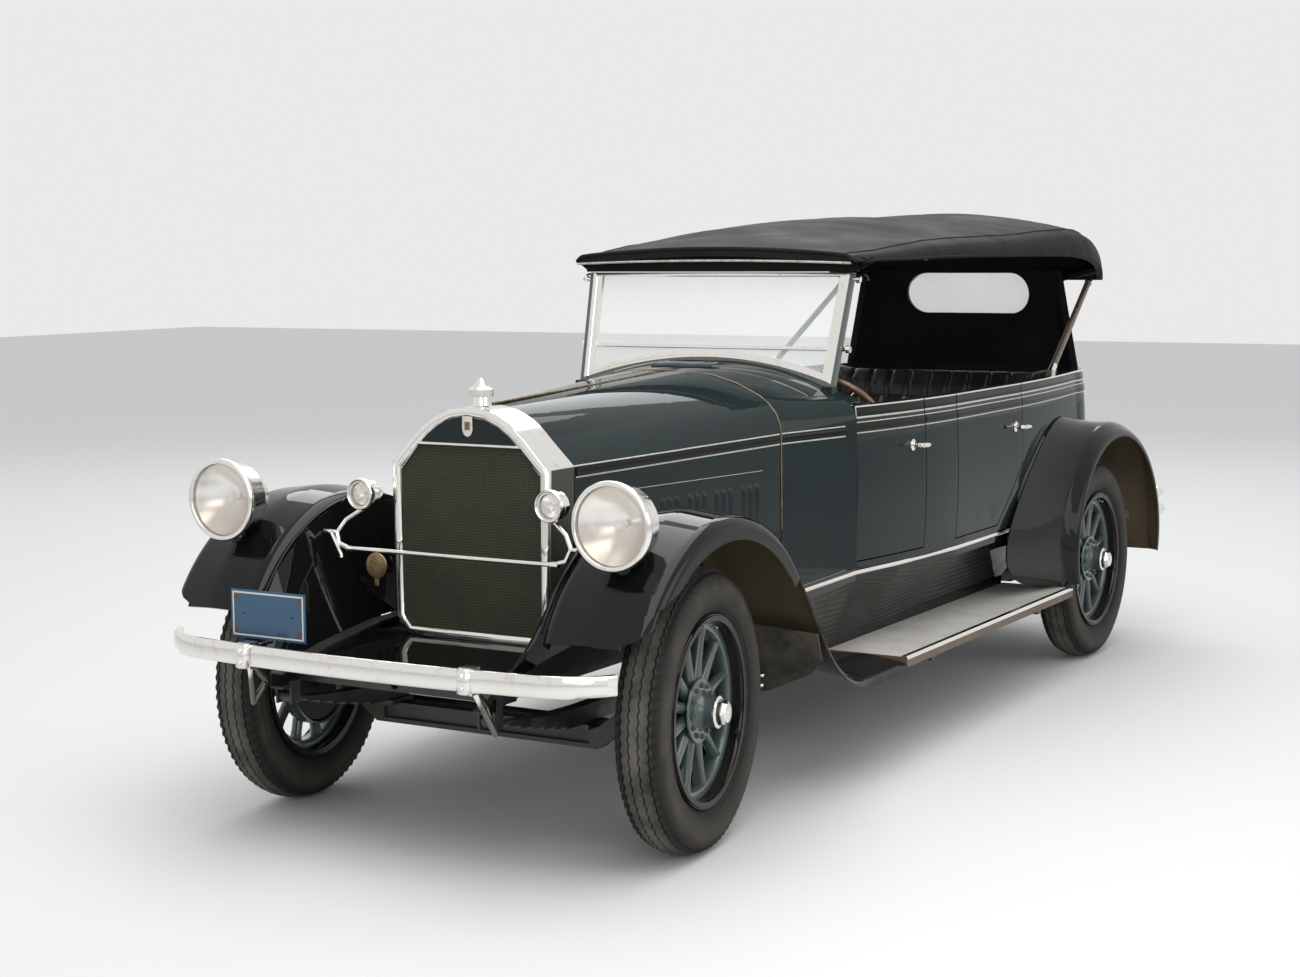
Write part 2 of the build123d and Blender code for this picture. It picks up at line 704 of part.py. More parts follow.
def front_fender():
    path = fender_path()
    start = path @ 0
    section_plane = Plane(origin=(0, start.Y, start.Z), x_dir=(1, 0, 0), z_dir=path % 0)
    lip = fender_crown_radius - fender_lip_radius
    points = [(fender_inner, 80), (fender_inner + 14, 12), ((fender_inner + fender_outer) / 2, 0),
              (fender_outer, 22), (fender_outer, lip)]
    section = skin_section(points, [45, 300, 40], fender_skin)
    sheet = sweep(section_plane * section, path=path)
    trim = 46
    rear = Wire(path.edges()[1:])
    begin = rear @ 0
    trim_plane = Plane(origin=(0, begin.Y, begin.Z), x_dir=(1, 0, 0), z_dir=rear % 0)
    band = Pos((fender_inner + fender_outer) / 2, trim + 60) * Rectangle(600, 120)
    sheet -= sweep(trim_plane * band, path=rear)
    out = fender_outer
    sheet -= side_plate([(-284, 818), (-500, 742), (-640, 692), (-640, 500), (-284, 500)], (out - 8, out + 5))
    corner = [(out - 75, 500), (out - 75, 692), (out - 40, 705), (out - 10, 730), (out + 0.5, 760),
              (out + 40, 760), (out + 40, 500)]
    sheet -= front_plate(corner, (-640, -380))
    x, y, _ = headlamp_at
    y += lamp_post_back
    sheet -= rod((x, y, lamp_pad_top - 5), (x, y, lamp_pad_top + 60), 15)
    return sheet + rod((x, y, lamp_pad_top - 30), (x, y, lamp_pad_top), 22)


rear_fender_center = (wheelbase + 76, 410)
rear_fender_sections = (
    # angle, inner x, inner radius, shoulder radius, lip radius
    (-3, 590, 606, 604, 540),
    (45, 600, 614, 614, 552),
    (90, 655, 592, 592, 530),
    (122, 690, 728, 600, 538),
    (148, 712, 852, 600, 538),
    (170, 716, 1005, 582, 520),
    (184, 716, 610, 548, 486),
)


def rear_fender():
    faces = []
    cy, cz = rear_fender_center
    for angle, inner_x, inner_r, shoulder_r, lip_r in rear_fender_sections:
        a = radians(angle)
        plane = Plane(origin=(0, cy, cz), x_dir=(1, 0, 0), z_dir=(0, sin(a), -cos(a)))
        points = [(inner_x, inner_r), (fender_outer - 50, shoulder_r), (fender_outer, shoulder_r - 40),
                  (fender_outer, lip_r)]
        sign = 1 if (plane.y_dir.Y * cos(a) + plane.y_dir.Z * sin(a)) > 0 else -1
        flat = [(u, sign * v) for u, v in points]
        faces.append(plane * skin_section(flat, [60, 30], -sign * fender_skin))
    bracket = block((650 + seat_gap, 700), (wheelbase + 51, wheelbase + 101), (930, 997))
    under_board = block((500, 900), (wheelbase - 1154, wheelbase - 354), (200, board_top + seat_gap))
    return loft(faces) + bracket - under_board


def running_boards():
    ends = board_front_y + seat_gap, board_rear_y
    board = block((board_inner, board_outer), ends, (board_top - board_thick, board_top))
    board = fillet(board.edges().filter_by(Axis.Y).sort_by(Axis.X)[-2:], 8)
    return pair(board)


def splash_aprons():
    """Sheets from the body's sill down to the running boards, with a ledge forward beside the hood."""
    t, foot = 6, board_inner - seat_gap
    top = body_bottom - seat_gap
    rows = ((apron_front_y, 632), (1345, 618), (1620, 655), (2070, 688), (board_rear_y - 275, 688),
            (board_rear_y - 15, 680))
    faces = []
    for y, top_x in rows:
        faces.append(make_face(Polyline(
            (foot - t, y, board_top - 30), (foot, y, board_top - 30), (foot, y, 400), (top_x - 24, y, 570),
            (top_x, y, 606), (top_x, y, top), (top_x - t, y, top), (top_x - t, y, 608),
            (top_x - 24 - t, y, 573), (foot - t, y, 403), close=True)))
    sheet = loft(faces, ruled=True)
    sweep_down = fender_path().edges()[2]
    line = [sweep_down @ (i / 6) for i in range(7)]
    under = [(p.Y, p.Z + 0.5) for p in line] + [(board_front_y + seat_gap / 2, board_top + 0.5),
                                               (board_front_y + seat_gap / 2, 200), (line[0].Y, 200)]
    sheet -= side_plate(under, (foot - 40, foot + 40))
    ledge = [(416, apron_front_y), (434, cowl_front_y - 6), (461, cowl_front_y + 1), (597, 1344), (615, 1344),
             (628, apron_front_y)]
    return pair(sheet + floor_plate(ledge, (top - t, top)))


def rail_top(y):
    """Height of the frame rail's upper edge ahead of the bulkhead."""
    points = ((horn_y, 528), (-330, 578), (-80, 612), (300, frame_top), (2000, frame_top))
    for (y0, z0), (y1, z1) in zip(points, points[1:]):
        if y <= y1:
            return z0 + (z1 - z0) * (y - y0) / (y1 - y0)


def front_aprons():
    """Sheets from the front fenders in to the frame, panels under the hood, and the pan at the front."""
    t, rail = 5, rail_inner_front + rail_flange
    edge_x = fender_inner - 6
    edge = fender_path(22)
    rows = []
    stations = ((0.003, 74), (0.07, 34), (0.15, 12), (0.25, 0), (0.35, 0), (0.45, 0), (0.55, 8), (0.63, 0),
                (0.70, -30), (0.76, -34))
    for u, back in stations:
        p = edge @ u
        foot_y = p.Y - back
        foot_x, foot_z = rail + 2 + max(0, foot_y - 500) * 0.07, rail_top(foot_y) + 2
        rows.append(make_face(Polyline((foot_x, foot_y, foot_z), (edge_x, p.Y, p.Z), (edge_x + t, p.Y, p.Z),
                                       (foot_x + t, foot_y, foot_z), close=True)))
    skirt = loft(rows, ruled=True)
    rows = []
    for y, foot, head in ((hood_front_y + 2, 384, 286), (500, 384, 360), (cowl_front_y - 6, 424, 460)):
        low, top = frame_top + seat_gap, hood_bottom - seat_gap
        rows.append(make_face(Polyline((foot - 8, y, low), (foot, y, low), (head, y, top - 14),
                                       (head, y, top), (head - 12, y, top), (head - 12, y, top - 14),
                                       close=True)))
    panel = loft(rows, ruled=True)
    pan = side_plate([(-88, 532), (-88, 578), (-96, 578), (-470, 548), (-470, 543), (-96, 573), (-96, 532)],
                     (-335, 335))
    pan += block((-335, 335), (-96, -57.3), (540, 548))
    both = skirt, flipped(skirt), panel, flipped(panel), pan
    return Compound(children=[*both])


# Lamps
def lamp_case(radius, depth):
    """A lamp body about the Y axis, its rim at y = 0, bulging rearwards."""
    wall = 4
    return turned([(-8, radius), (10, radius), (10, radius - 6), (depth * 0.45, radius * 0.86),
                   (depth * 0.85, radius * 0.5), (depth, 0), (depth - wall, 0), (depth * 0.82, radius * 0.46),
                   (depth * 0.42, radius * 0.8), (8, radius - 12), (-8, radius - 12)], Axis.Y)


def lamp_glass(radius):
    return turned([(-9, 0), (-3, radius - 12 - seat_gap), (1, radius - 12 - seat_gap), (-5, 0)], Axis.Y)


def headlamps():
    x, y, z = headlamp_at
    lamp = Pos(x, y, z) * lamp_case(headlamp_radius, 170)
    y += lamp_post_back
    return pair(lamp + rod((x, y, lamp_pad_top + seat_gap), (x, y, z - 100), 14))


def small_lamps():
    """Two small lamps on a thin bar across the radiator's front, which ends on the fenders."""
    x, y, z = small_lamp_at
    lamp = Pos(x, y, z) * lamp_case(small_lamp_radius, 90)
    bar_y, bar_z = y - 30, 850
    both = lamp + flipped(lamp) + rod((-372, bar_y, bar_z), (372, bar_y, bar_z), 7)
    for side in (1, -1):
        bow = [(x, y + 14, z - small_lamp_radius + 4), (402, bar_y + 26, 934), (427, bar_y + 12, 896),
               (414, bar_y + 4, 862), (372, bar_y, bar_z)]
        points = [(side * px, py, pz) for px, py, pz in bow]
        for start, end in zip(points, points[1:]):
            both += rod(start, end, 7) + Pos(*end) * Sphere(7)
        both += rod(points[2], (side * (fender_inner - 22), bar_y + 12, 896), 7)
    return both


def lamp_glasses():
    parts = []
    for (x, y, z), radius in ((headlamp_at, headlamp_radius), (small_lamp_at, small_lamp_radius)):
        glass = Pos(x, y, z) * lamp_glass(radius)
        parts += [glass, flipped(glass)]
    return Compound(children=parts)


# Windshield
def shield_plane():
    """x across, y up the glass, origin at its foot."""
    rise = shield_head[1] - shield_foot[1]
    back = shield_head[0] - shield_foot[0]
    return Plane(origin=(0, shield_foot[0], shield_foot[1]), x_dir=(1, 0, 0), z_dir=(0, -rise, back))


shield_height = hypot(shield_head[0] - shield_foot[0], shield_head[1] - shield_foot[1])
shield_bar = 14
divider_at = 0.29


def shield_face(side=0, top_bar=0, low_bar=0):
    """Outline of the windshield in its plane, set in by its bars, its lower edge arched over the cowl."""
    a, b, top = shield_half_foot - side, shield_half_head - side, shield_height - top_bar
    rise = low_bar * 1.2
    return make_face(Wire([
        Edge.make_three_point_arc((-a, rise, 0), (0, shield_arch + low_bar, 0), (a, rise, 0)),
        Edge.make_line((a, rise, 0), (b, top, 0)), Edge.make_line((b, top, 0), (-b, top, 0)),
        Edge.make_line((-b, top, 0), (-a, rise, 0))]))


def windshield_frame():
    """Frame with its divider, the posts beside it, and the filler between its arched foot and the cowl."""
    plate = extrude(shield_face(), shield_bar / 2, both=True)
    plate -= extrude(shield_face(shield_side_bar, 12, 18), shield_bar, both=True)
    divider = Pos(0, shield_height * divider_at) * Box(2 * shield_half_foot - 4, 12, 12)
    low, w = -45, shield_post_width
    post = make_face(Polyline((shield_half_foot - 4, low, 0), (shield_half_foot + w - 2, low, 0),
                              (shield_half_head + w, shield_height, 0),
                              (shield_half_head - 2, shield_height, 0), close=True))
    post = extrude(post, shield_bar / 2 + 3, both=True)
    a = shield_half_foot
    filler = make_face(Wire([
        Edge.make_three_point_arc((-a, 2, 0), (0, shield_arch + 2, 0), (a, 2, 0)),
        Edge.make_line((a, 2, 0), (a, low, 0)), Edge.make_line((a, low, 0), (-a, low, 0)),
        Edge.make_line((-a, low, 0), (-a, 2, 0))]))
    filler = shield_plane() * extrude(filler, 4, both=True)
    under = cowl_loft(-1.5, 1100) + block((0, 560), (cowl_lip_y - 2, cowl_lip_y + 30), (1100, 1350))
    frame_solid = shield_plane() * (plate + divider + post + flipped(post))
    frame_solid += filler - under - flipped(under)
    pads = block((400, 600), (1300, 1450), (1200, shield_pad_top + seat_gap))
    return frame_solid - pads - flipped(pads)


def windshield_glass():
    g = seat_gap
    sheet = extrude(shield_face(shield_side_bar + g, 12 + g, 18 + g), 3, both=True)
    sheet -= Pos(0, shield_height * divider_at) * Box(1200, 12 + 2 * seat_gap, 20)
    return shield_plane() * sheet


# Steering column and wheel
def column_direction():
    dy, dz = wheel_hub_at[0] - column_foot[0], wheel_hub_at[1] - column_foot[1]
    length = hypot(dy, dz)
    return dy / length, dz / length


def column_point(z):
    """Point of the column's axis at height z."""
    dy, dz = column_direction()
    return column_x, wheel_hub_at[0] - (wheel_hub_at[1] - z) * dy / dz, z


def column_hole(radius):
    return rod(column_point(600), column_point(960), radius)


def steering_column():
    """The column through the toe board, down to its box beside the frame's rail."""
    dy, dz = column_direction()
    end = 39 + seat_gap
    top = (column_x, wheel_hub_at[0] - end * dy, wheel_hub_at[1] - end * dz)
    box = block((300, 369.9), (960, 1050), (575, 655))
    return rod(column_point(645), top, 22) + box


def steering_wheel():
    dy, dz = column_direction()
    plane = Plane(origin=(column_x, wheel_hub_at[0], wheel_hub_at[1]), x_dir=(1, 0, 0), z_dir=(0, dy, dz))
    ring = Torus(steering_wheel_radius - 13, 13)
    hub = Pos(0, 0, -22) * Cylinder(30, 34)
    spoke = rod((20, 0, -20), (steering_wheel_radius - 13, 0, -2), 8)
    spokes = [Rot(0, 0, 45 + 90 * i) * spoke for i in range(4)]
    return plane * (ring + hub + spokes)


# Seats: soft cushions with backs
def seat(front_y, rear_y, half, base, cushion_top, back_top):
    depth = rear_y - front_y
    cushion = block((-half, half), (front_y, front_y + depth * 0.82), (base, cushion_top))
    back = side_plate([(front_y + depth * 0.70, cushion_top - 60), (front_y + depth * 0.86, back_top),
                       (rear_y, back_top), (rear_y, base), (front_y + depth * 0.75, base)], (-half, half))
    return cushion + back


def front_seat():
    return seat(1850, 2260, 610, body_bottom, 935, 1240)


def rear_seat():
    return seat(wheelbase - 444, wheelbase + 186, 575, rear_deck + seat_gap, 985, 1250)


def floor():
    """Floorboards on the frame's rails, the deck under the rear seat and the sloping toe board."""
    low, top = frame_top + seat_gap, body_bottom - seat_gap
    step_y = wheelbase - 632
    half = [(455, cowl_front_y + 5), (590, 1345), (636, 1620), (668, 2070), (668, wheelbase - 754),
            (662, step_y)]
    boards = floor_plate(half + [(-x, y) for x, y in reversed(half)], (low, top))
    half = [(636, step_y), (632, wheelbase - 470), (580, wheelbase - 450), (580, wheelbase + 146),
            (500, wheelbase + 306), (380, wheelbase + 396)]
    boards += floor_plate(half + [(-x, y) for x, y in reversed(half)], (rear_deck - floor_board, rear_deck))
    boards += block((-632, 632), (step_y - 10, step_y + 8), (low, rear_deck))
    toe = [(1118, 830), (1370, top - 2), (1370, top - 12), (1340, top - 12), (1118, 812)]
    return boards + side_plate(toe, (-430, 430)) - column_hole(22.5)


# Top: a thin roof lofted between bows, with the rear curtain
top_sections = (
    # y, crown height, edge height, half width, height of the shoulder between edge and crown
    (1430, 1750, 1702, 560, 0.54),
    (1620, 1780, 1706, 628, 0.46),
    (1900, 1823, 1710, 659, 0.48),
    (wheelbase - 854, 1869, 1712, 688, 0.48),
    (wheelbase - 104, 1887, 1706, 699, 0.60),
    (wheelbase + 186, 1886, 1680, 686, 0.60),
    (wheelbase + 426, 1816, 1600, 630, 0.66),
)
top_thick = 22
rear_cap_thick = 30
header_y = (1488, 1514)
header_half = 556
header_bottom = 1672
curtain_foot_inset = 22
curtain_head_inset = 80
curtain_head_z = 1645
curtain_front_y = wheelbase + 336
window_z = 1540
window_width = 594
window_height = 183


def top_face(y, crown, edge, half, shoulder_at, drop):
    c, e, h = crown - drop, edge, half - drop
    shoulder = (h * 0.9, y, e + (c - e) * shoulder_at)
    bulge = (h * 0.978, y, e + (c - e) * shoulder_at * 0.58)
    return make_face(Wire([
        Edge.make_line((-h, y, e), (h, y, e)),
        Edge.make_three_point_arc((h, y, e), bulge, shoulder),
        Edge.make_three_point_arc(shoulder, (0, y, c), (-shoulder[0], y, shoulder[2])),
        Edge.make_three_point_arc((-shoulder[0], y, shoulder[2]), (-bulge[0], y, bulge[2]), (-h, y, e))]))


def curtain_shell(outer, thick):
    """A skin of the rear curtain, outer mm inside its outer face, standing on the tub's rear edge."""
    low = body_top + seat_gap
    insets = (low, curtain_foot_inset), (curtain_head_z, curtain_head_inset)
    skin = loft([tub_plan(z, inset + outer) for z, inset in insets])
    skin -= loft([tub_plan(z + dz, inset + outer + thick) for (z, inset), dz in zip(insets, (-5, 5))])
    return skin & block((-700, 700), (curtain_front_y, body_rear_y), (low, curtain_head_z))


def window_prism(clear):
    face = Plane(origin=(0, curtain_front_y, window_z), x_dir=(1, 0, 0), z_dir=(0, 1, 0)) * SlotOverall(
        window_width - 2 * clear, window_height - 2 * clear)
    return extrude(face, 400, dir=(0, 1, 0))


def top_canopy():
    """The fabric roof over its bows, with its front header, its rear end and the curtain down to the tub."""
    outer = loft([top_face(*row, 0) for row in top_sections])
    inner_rows = [(y, c, e - 30, h, s) for y, c, e, h, s in top_sections]
    inner_rows[0] = (top_sections[0][0] - 2,) + inner_rows[0][1:]
    inner_rows[-1] = (top_sections[-1][0] + 2,) + inner_rows[-1][1:]
    inner = loft([top_face(*row, top_thick) for row in inner_rows])
    end_y, *rear = top_sections[-1]
    rear_cap = extrude(top_face(end_y - 1, *rear, 0), rear_cap_thick, dir=(0, 1, 0))
    header = block((-header_half, header_half), header_y, (header_bottom, 1712))
    header += block((-header_half, header_half), header_y, (1700, 1800)) & outer
    return outer - inner + header + (rear_cap + curtain_shell(0, 22) - window_prism(0))


def rear_window():
    return curtain_shell(8, 4) & window_prism(seat_gap)


def top_irons():
    """The rear posts that carry the top, on feet on the body's edge."""
    y = wheelbase - 264
    foot = block((640, 664), (y - 25, y + 25), (body_top + seat_gap, body_top + 26))
    return pair(foot + rod((652, y, body_top + 16), (594, y + 640, 1600), 14))


# Bumper, plate, badge, spare and tail lamp
def bumper_bar():
    y = bumper_front_y + bumper_thick / 2
    flat_half, end_x, end_y = 600, 776, y + 145
    sag = 38
    mid = Edge.make_three_point_arc((-flat_half, y + sag, bumper_z), (0, y, bumper_z),
                                    (flat_half, y + sag, bumper_z))
    right = Edge.make_tangent_arc(mid @ 1, mid % 1, (end_x, end_y, bumper_z))
    left = Edge.make_tangent_arc(mid @ 0, (mid % 0) * -1, (-end_x, end_y, bumper_z))
    section = RectangleRounded(bumper_thick, bumper_height, 12)
    bar = None
    for edge in (mid, right, left):
        plane = Plane(origin=edge @ 0, x_dir=Vector(0, 0, 1).cross(edge % 0), z_dir=edge % 0)
        piece = sweep(plane * section, path=edge)
        bar = piece if bar is None else bar + piece
    return bar


def front_bumper():
    """The bar on two clamps and brackets to the frame's horns, with the number plate's strap."""
    bar = bumper_bar()
    back = bumper_front_y + bumper_thick
    for side in (1, -1):
        clamp = sorted((side * 369, side * 413))
        bar += block(clamp, (back - 20, back + 20), (bumper_z - 38, bumper_z + 38))
        x = side * (rail_inner_front + rail_flange + 5 + seat_gap)
        bar += rod((x, back + 8, bumper_z - 20), (x, horn_y - 8, 505), 10)
        bar += block((x - 5, x + 5), (horn_y - 20, horn_y + 27), (486, 522))
        knee = (side * 430, horn_y - 24, 438)
        bar += rod((x, back + 8, bumper_z - 20), knee, 9) + Pos(*knee) * Sphere(9)
        bar += rod(knee, (x, horn_y - 12, 500), 9)
    bar += block((-399, -379), (back - 10, plate_y + 9), (bumper_z + 20, bumper_z + 26))
    return bar + block((-399, -379), (plate_y + 3 + seat_gap, plate_y + 9), (bumper_z + 20, plate_z + 20))


def spare_wheel():
    """Rim on its carrier: a ring behind the tub, with two arms from the frame's tail."""
    ring = Pos(0, spare_y, spare_z) * Rot(0, 0, 90) * rim()
    return ring


def spare_carrier():
    """A hoop inside the spare's rim, spokes to a hub, and two arms to the frame's rails."""
    def disc(radius, hole, y, thick):
        face = Rot(90, 0, 0) * Cylinder(radius, thick)
        if hole:
            face -= Rot(90, 0, 0) * Cylinder(hole, thick + 2)
        return Pos(0, y, spare_z) * face

    hub_y = spare_y - 110
    hoop = disc(rim_radius - 8 - seat_gap, rim_radius - 24, spare_y, 50)
    carrier = hoop + disc(52, 0, (hub_y + spare_y) / 2, 110)
    for i in range(4):
        a = radians(45 + 90 * i)
        carrier += rod((0, spare_y - 8, spare_z), (250 * cos(a), spare_y - 8, spare_z + 250 * sin(a)), 11)
    for side in (1, -1):
        carrier += rod((0, hub_y, spare_z), (side * 398, hub_y, 545), 14)
        foot = sorted((side * 388, side * (rail_inner_rear - seat_gap)))
        carrier += block(foot, (hub_y - 25, hub_y + 20), (520, 558))
    return carrier


def number_plate():
    x, y, z = plate_x_middle, plate_y, plate_z
    plate = block((x - 140, x + 140), (y, y + 3), (z - 72, z + 72))
    for side in (1, -1):
        hole_x = x + side * plate_hole_spacing / 2
        plate -= rod((hole_x, y - 5, z), (hole_x, y + 8, z), 3.5)
    return plate


def tail_lamp():
    """Two small bullet lamps, one above the other, on a stalk from the left rear fender."""
    x, y = 800, wheelbase + 746
    lamp = rod((x, y, 552), (x, y, 632), 8)
    for z, radius in ((632, 25), (552, 31)):
        bullet = [(-44, 0), (-34, radius * 0.5), (0, radius), (26, radius), (26, 0)]
        lamp += Pos(x, y, z) * turned(bullet, Axis.Y)
    angle = radians(14)
    cy, cz = rear_fender_center
    r = 616
    foot = (700, cy + r * cos(angle), cz + r * sin(angle))
    knee = (700, foot[1] + 30 * cos(angle), foot[2] + 30 * sin(angle))
    return lamp + rod(foot, knee, 9) + Pos(*knee) * Sphere(9) + rod(knee, (x, y, 592), 8)


def placed_wheels():
    """The four wheels and tyres in their places, each with its body's name."""
    out = {}
    for name, side in (("rear_left", 1), ("rear_right", -1)):
        for kind, make in (("wheel", wheel), ("tyre", tyre)):
            piece = make() if side > 0 else flipped(make())
            out[kind + "_" + name] = Pos(side * track / 2, wheelbase, hub_z) * piece
    for name, side in (("front_left", 1), ("front_right", -1)):
        for kind, make in (("wheel", wheel), ("tyre", tyre)):
            piece = Pos(kingpin_inset, 0, 0) * make()
            piece = piece if side > 0 else flipped(piece)
            out[kind + "_" + name] = at_kingpin(piece, side)
    return out


nodes = {
    "frame": frame(),
    "front_axle": front_axle(),
    "leaf_springs": leaf_springs(),
    "rear_axle": rear_axle(),
    "engine": engine(),
    "exhaust": exhaust(),
    "fuel_tank": fuel_tank(),
    "knuckle_left": at_kingpin(knuckle(), 1),
    "knuckle_right": at_kingpin(flipped(knuckle()), -1),
    "tie_rod": Pos(kingpin_x + arm_end[0], arm_end[1], tie_z) * tie_rod(),
    "cowl": cowl(),
    "dashboard": dashboard(),
    "body_tub": body_tub(),
    "floor": floor(),
    "door_front_left": door(front_door, 1690, 1053),
    "door_rear_left": door(rear_door, 2646, 1045),
    "door_front_right": flipped(door(front_door, 1690, 1053)),
    "door_rear_right": flipped(door(rear_door, 2646, 1045)),
    "hood_left": hood_half(),
    "hood_right": flipped(hood_half()),
    "radiator_shell": radiator_shell(),
    "radiator_core": radiator_core(),
    "radiator_cap": radiator_cap(),
    "front_fenders": pair(front_fender()),
    "rear_fenders": pair(rear_fender()),
    "running_boards": running_boards(),
    "splash_aprons": splash_aprons(),
    "front_aprons": front_aprons(),
    "headlamps": headlamps(),
    "small_lamps": small_lamps(),
    "lamp_glasses": lamp_glasses(),
    "windshield_frame": windshield_frame(),
    "windshield_glass": windshield_glass(),
    "steering_column": steering_column(),
    "steering_wheel": steering_wheel(),
    "front_seat": front_seat(),
    "rear_seat": rear_seat(),
    "top_canopy": top_canopy(),
    "rear_window": rear_window(),
    "top_irons": top_irons(),
    "front_bumper": front_bumper(),
    "number_plate": number_plate(),
    "spare_rim": spare_wheel(),
    "spare_tyre": Pos(0, spare_y, spare_z) * Rot(0, 0, 90) * tyre(),
    "spare_carrier": spare_carrier(),
    "tail_lamp": tail_lamp(),
}
nodes.update(placed_wheels())

os.makedirs("parts", exist_ok=True)
for name, shape in nodes.items():
    export_step(Pos(0, -middle_y, 0) * shape, f"parts/{name}.step")
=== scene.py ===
from math import cos, exp, pi, radians, sin

import bmesh
import bpy
from mathutils import Matrix, Vector, noise
from mathutils.bvhtree import BVHTree


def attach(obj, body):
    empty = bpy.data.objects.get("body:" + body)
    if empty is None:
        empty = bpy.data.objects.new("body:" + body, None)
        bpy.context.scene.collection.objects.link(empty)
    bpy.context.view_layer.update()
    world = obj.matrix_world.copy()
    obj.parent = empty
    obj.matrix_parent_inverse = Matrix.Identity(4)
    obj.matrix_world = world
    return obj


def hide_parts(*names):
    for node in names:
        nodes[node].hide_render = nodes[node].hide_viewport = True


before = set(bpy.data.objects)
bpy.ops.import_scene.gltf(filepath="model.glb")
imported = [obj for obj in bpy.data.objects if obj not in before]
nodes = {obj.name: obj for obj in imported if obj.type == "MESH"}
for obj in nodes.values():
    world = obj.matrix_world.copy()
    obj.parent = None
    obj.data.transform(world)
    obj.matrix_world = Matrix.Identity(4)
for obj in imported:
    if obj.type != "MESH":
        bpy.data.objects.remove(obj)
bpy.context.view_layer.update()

# The place the car stands in: a pale floor and backdrop, broad soft lamps, and the camera at the
# height of a standing person, ahead of the car's left front wheel.
middle_y = 1.8035
eye = Vector((3.7246, -5.3468 - middle_y, 1.7677))
yaw, pitch, roll = 0.53268, -0.093713, -0.0078856
ahead = Vector((-sin(yaw) * cos(pitch), cos(yaw) * cos(pitch), sin(pitch)))
level_right = Vector((cos(yaw), sin(yaw), 0))
level_up = level_right.cross(ahead)
right = cos(roll) * level_right + sin(roll) * level_up
up = cos(roll) * level_up - sin(roll) * level_right
camera_data = bpy.data.cameras.new("camera")
camera = bpy.data.objects.new("camera", camera_data)
camera.matrix_world = Matrix((
    (right.x, up.x, -ahead.x, eye.x), (right.y, up.y, -ahead.y, eye.y),
    (right.z, up.z, -ahead.z, eye.z), (0, 0, 0, 1)))
camera_data.lens = 59.335
camera_data.sensor_width = 36
camera_data.sensor_fit = "HORIZONTAL"
camera_data.shift_x = 0.0031
camera_data.shift_y = -0.0319
scene = bpy.context.scene
scene.collection.objects.link(camera)
scene.camera = camera
scene.view_settings.view_transform = "Standard"


def softbox(name, place, aim, size, power, tint):
    data = bpy.data.lights.new(name, "AREA")
    data.shape, data.size, data.size_y, data.energy, data.color = "RECTANGLE", size[0], size[1], power, tint
    lamp = bpy.data.objects.new(name, data)
    lamp.location = place
    lamp.rotation_euler = (Vector(aim) - Vector(place)).to_track_quat("-Z", "Y").to_euler()
    scene.collection.objects.link(lamp)


softbox("overhead", (0.6, -0.8, 4.6), (0, 0, 0.6), (3.4, 8.0), 210, (1.0, 0.99, 0.97))
softbox("front_fill", (4.2, -7.8, 3.2), (0, -1.2, 0.7), (4.0, 3.0), 70, (1.0, 0.98, 0.95))
softbox("left_fill", (7.5, 0.5, 2.8), (0, 0.5, 0.8), (6.0, 2.6), 60, (0.96, 0.98, 1.0))
softbox("rear_sky", (-4.2, 7.0, 6.9), (0, -0.6, 0.9), (9.0, 3.4), 260, (0.97, 0.985, 1.0))


class Wire:
    """A socket of a finish. Operators on it add the Math nodes of a sum worked out over the surface."""

    def __init__(self, finish, socket):
        self.finish, self.socket = finish, socket

    def math(self, operation, *values):
        return self.finish.node("Math", {"operation": operation}, values=values)

    def __add__(self, other): return self.math("ADD", self, other)
    def __radd__(self, other): return self.math("ADD", other, self)
    def __sub__(self, other): return self.math("SUBTRACT", self, other)
    def __rsub__(self, other): return self.math("SUBTRACT", other, self)
    def __mul__(self, other): return self.math("MULTIPLY", self, other)
    def __rmul__(self, other): return self.math("MULTIPLY", other, self)
    def __truediv__(self, other): return self.math("DIVIDE", self, other)
    def __rtruediv__(self, other): return self.math("DIVIDE", other, self)
    def __pow__(self, other): return self.math("POWER", self, other)
    def __mod__(self, other): return self.math("FLOORED_MODULO", self, other)
    def __gt__(self, other): return self.math("GREATER_THAN", self, other)
    def __lt__(self, other): return self.math("LESS_THAN", self, other)
    def __abs__(self): return self.math("ABSOLUTE", self)

    def either(self, other):
        """The larger of two masks or distances."""
        return self.math("MAXIMUM", self, other)


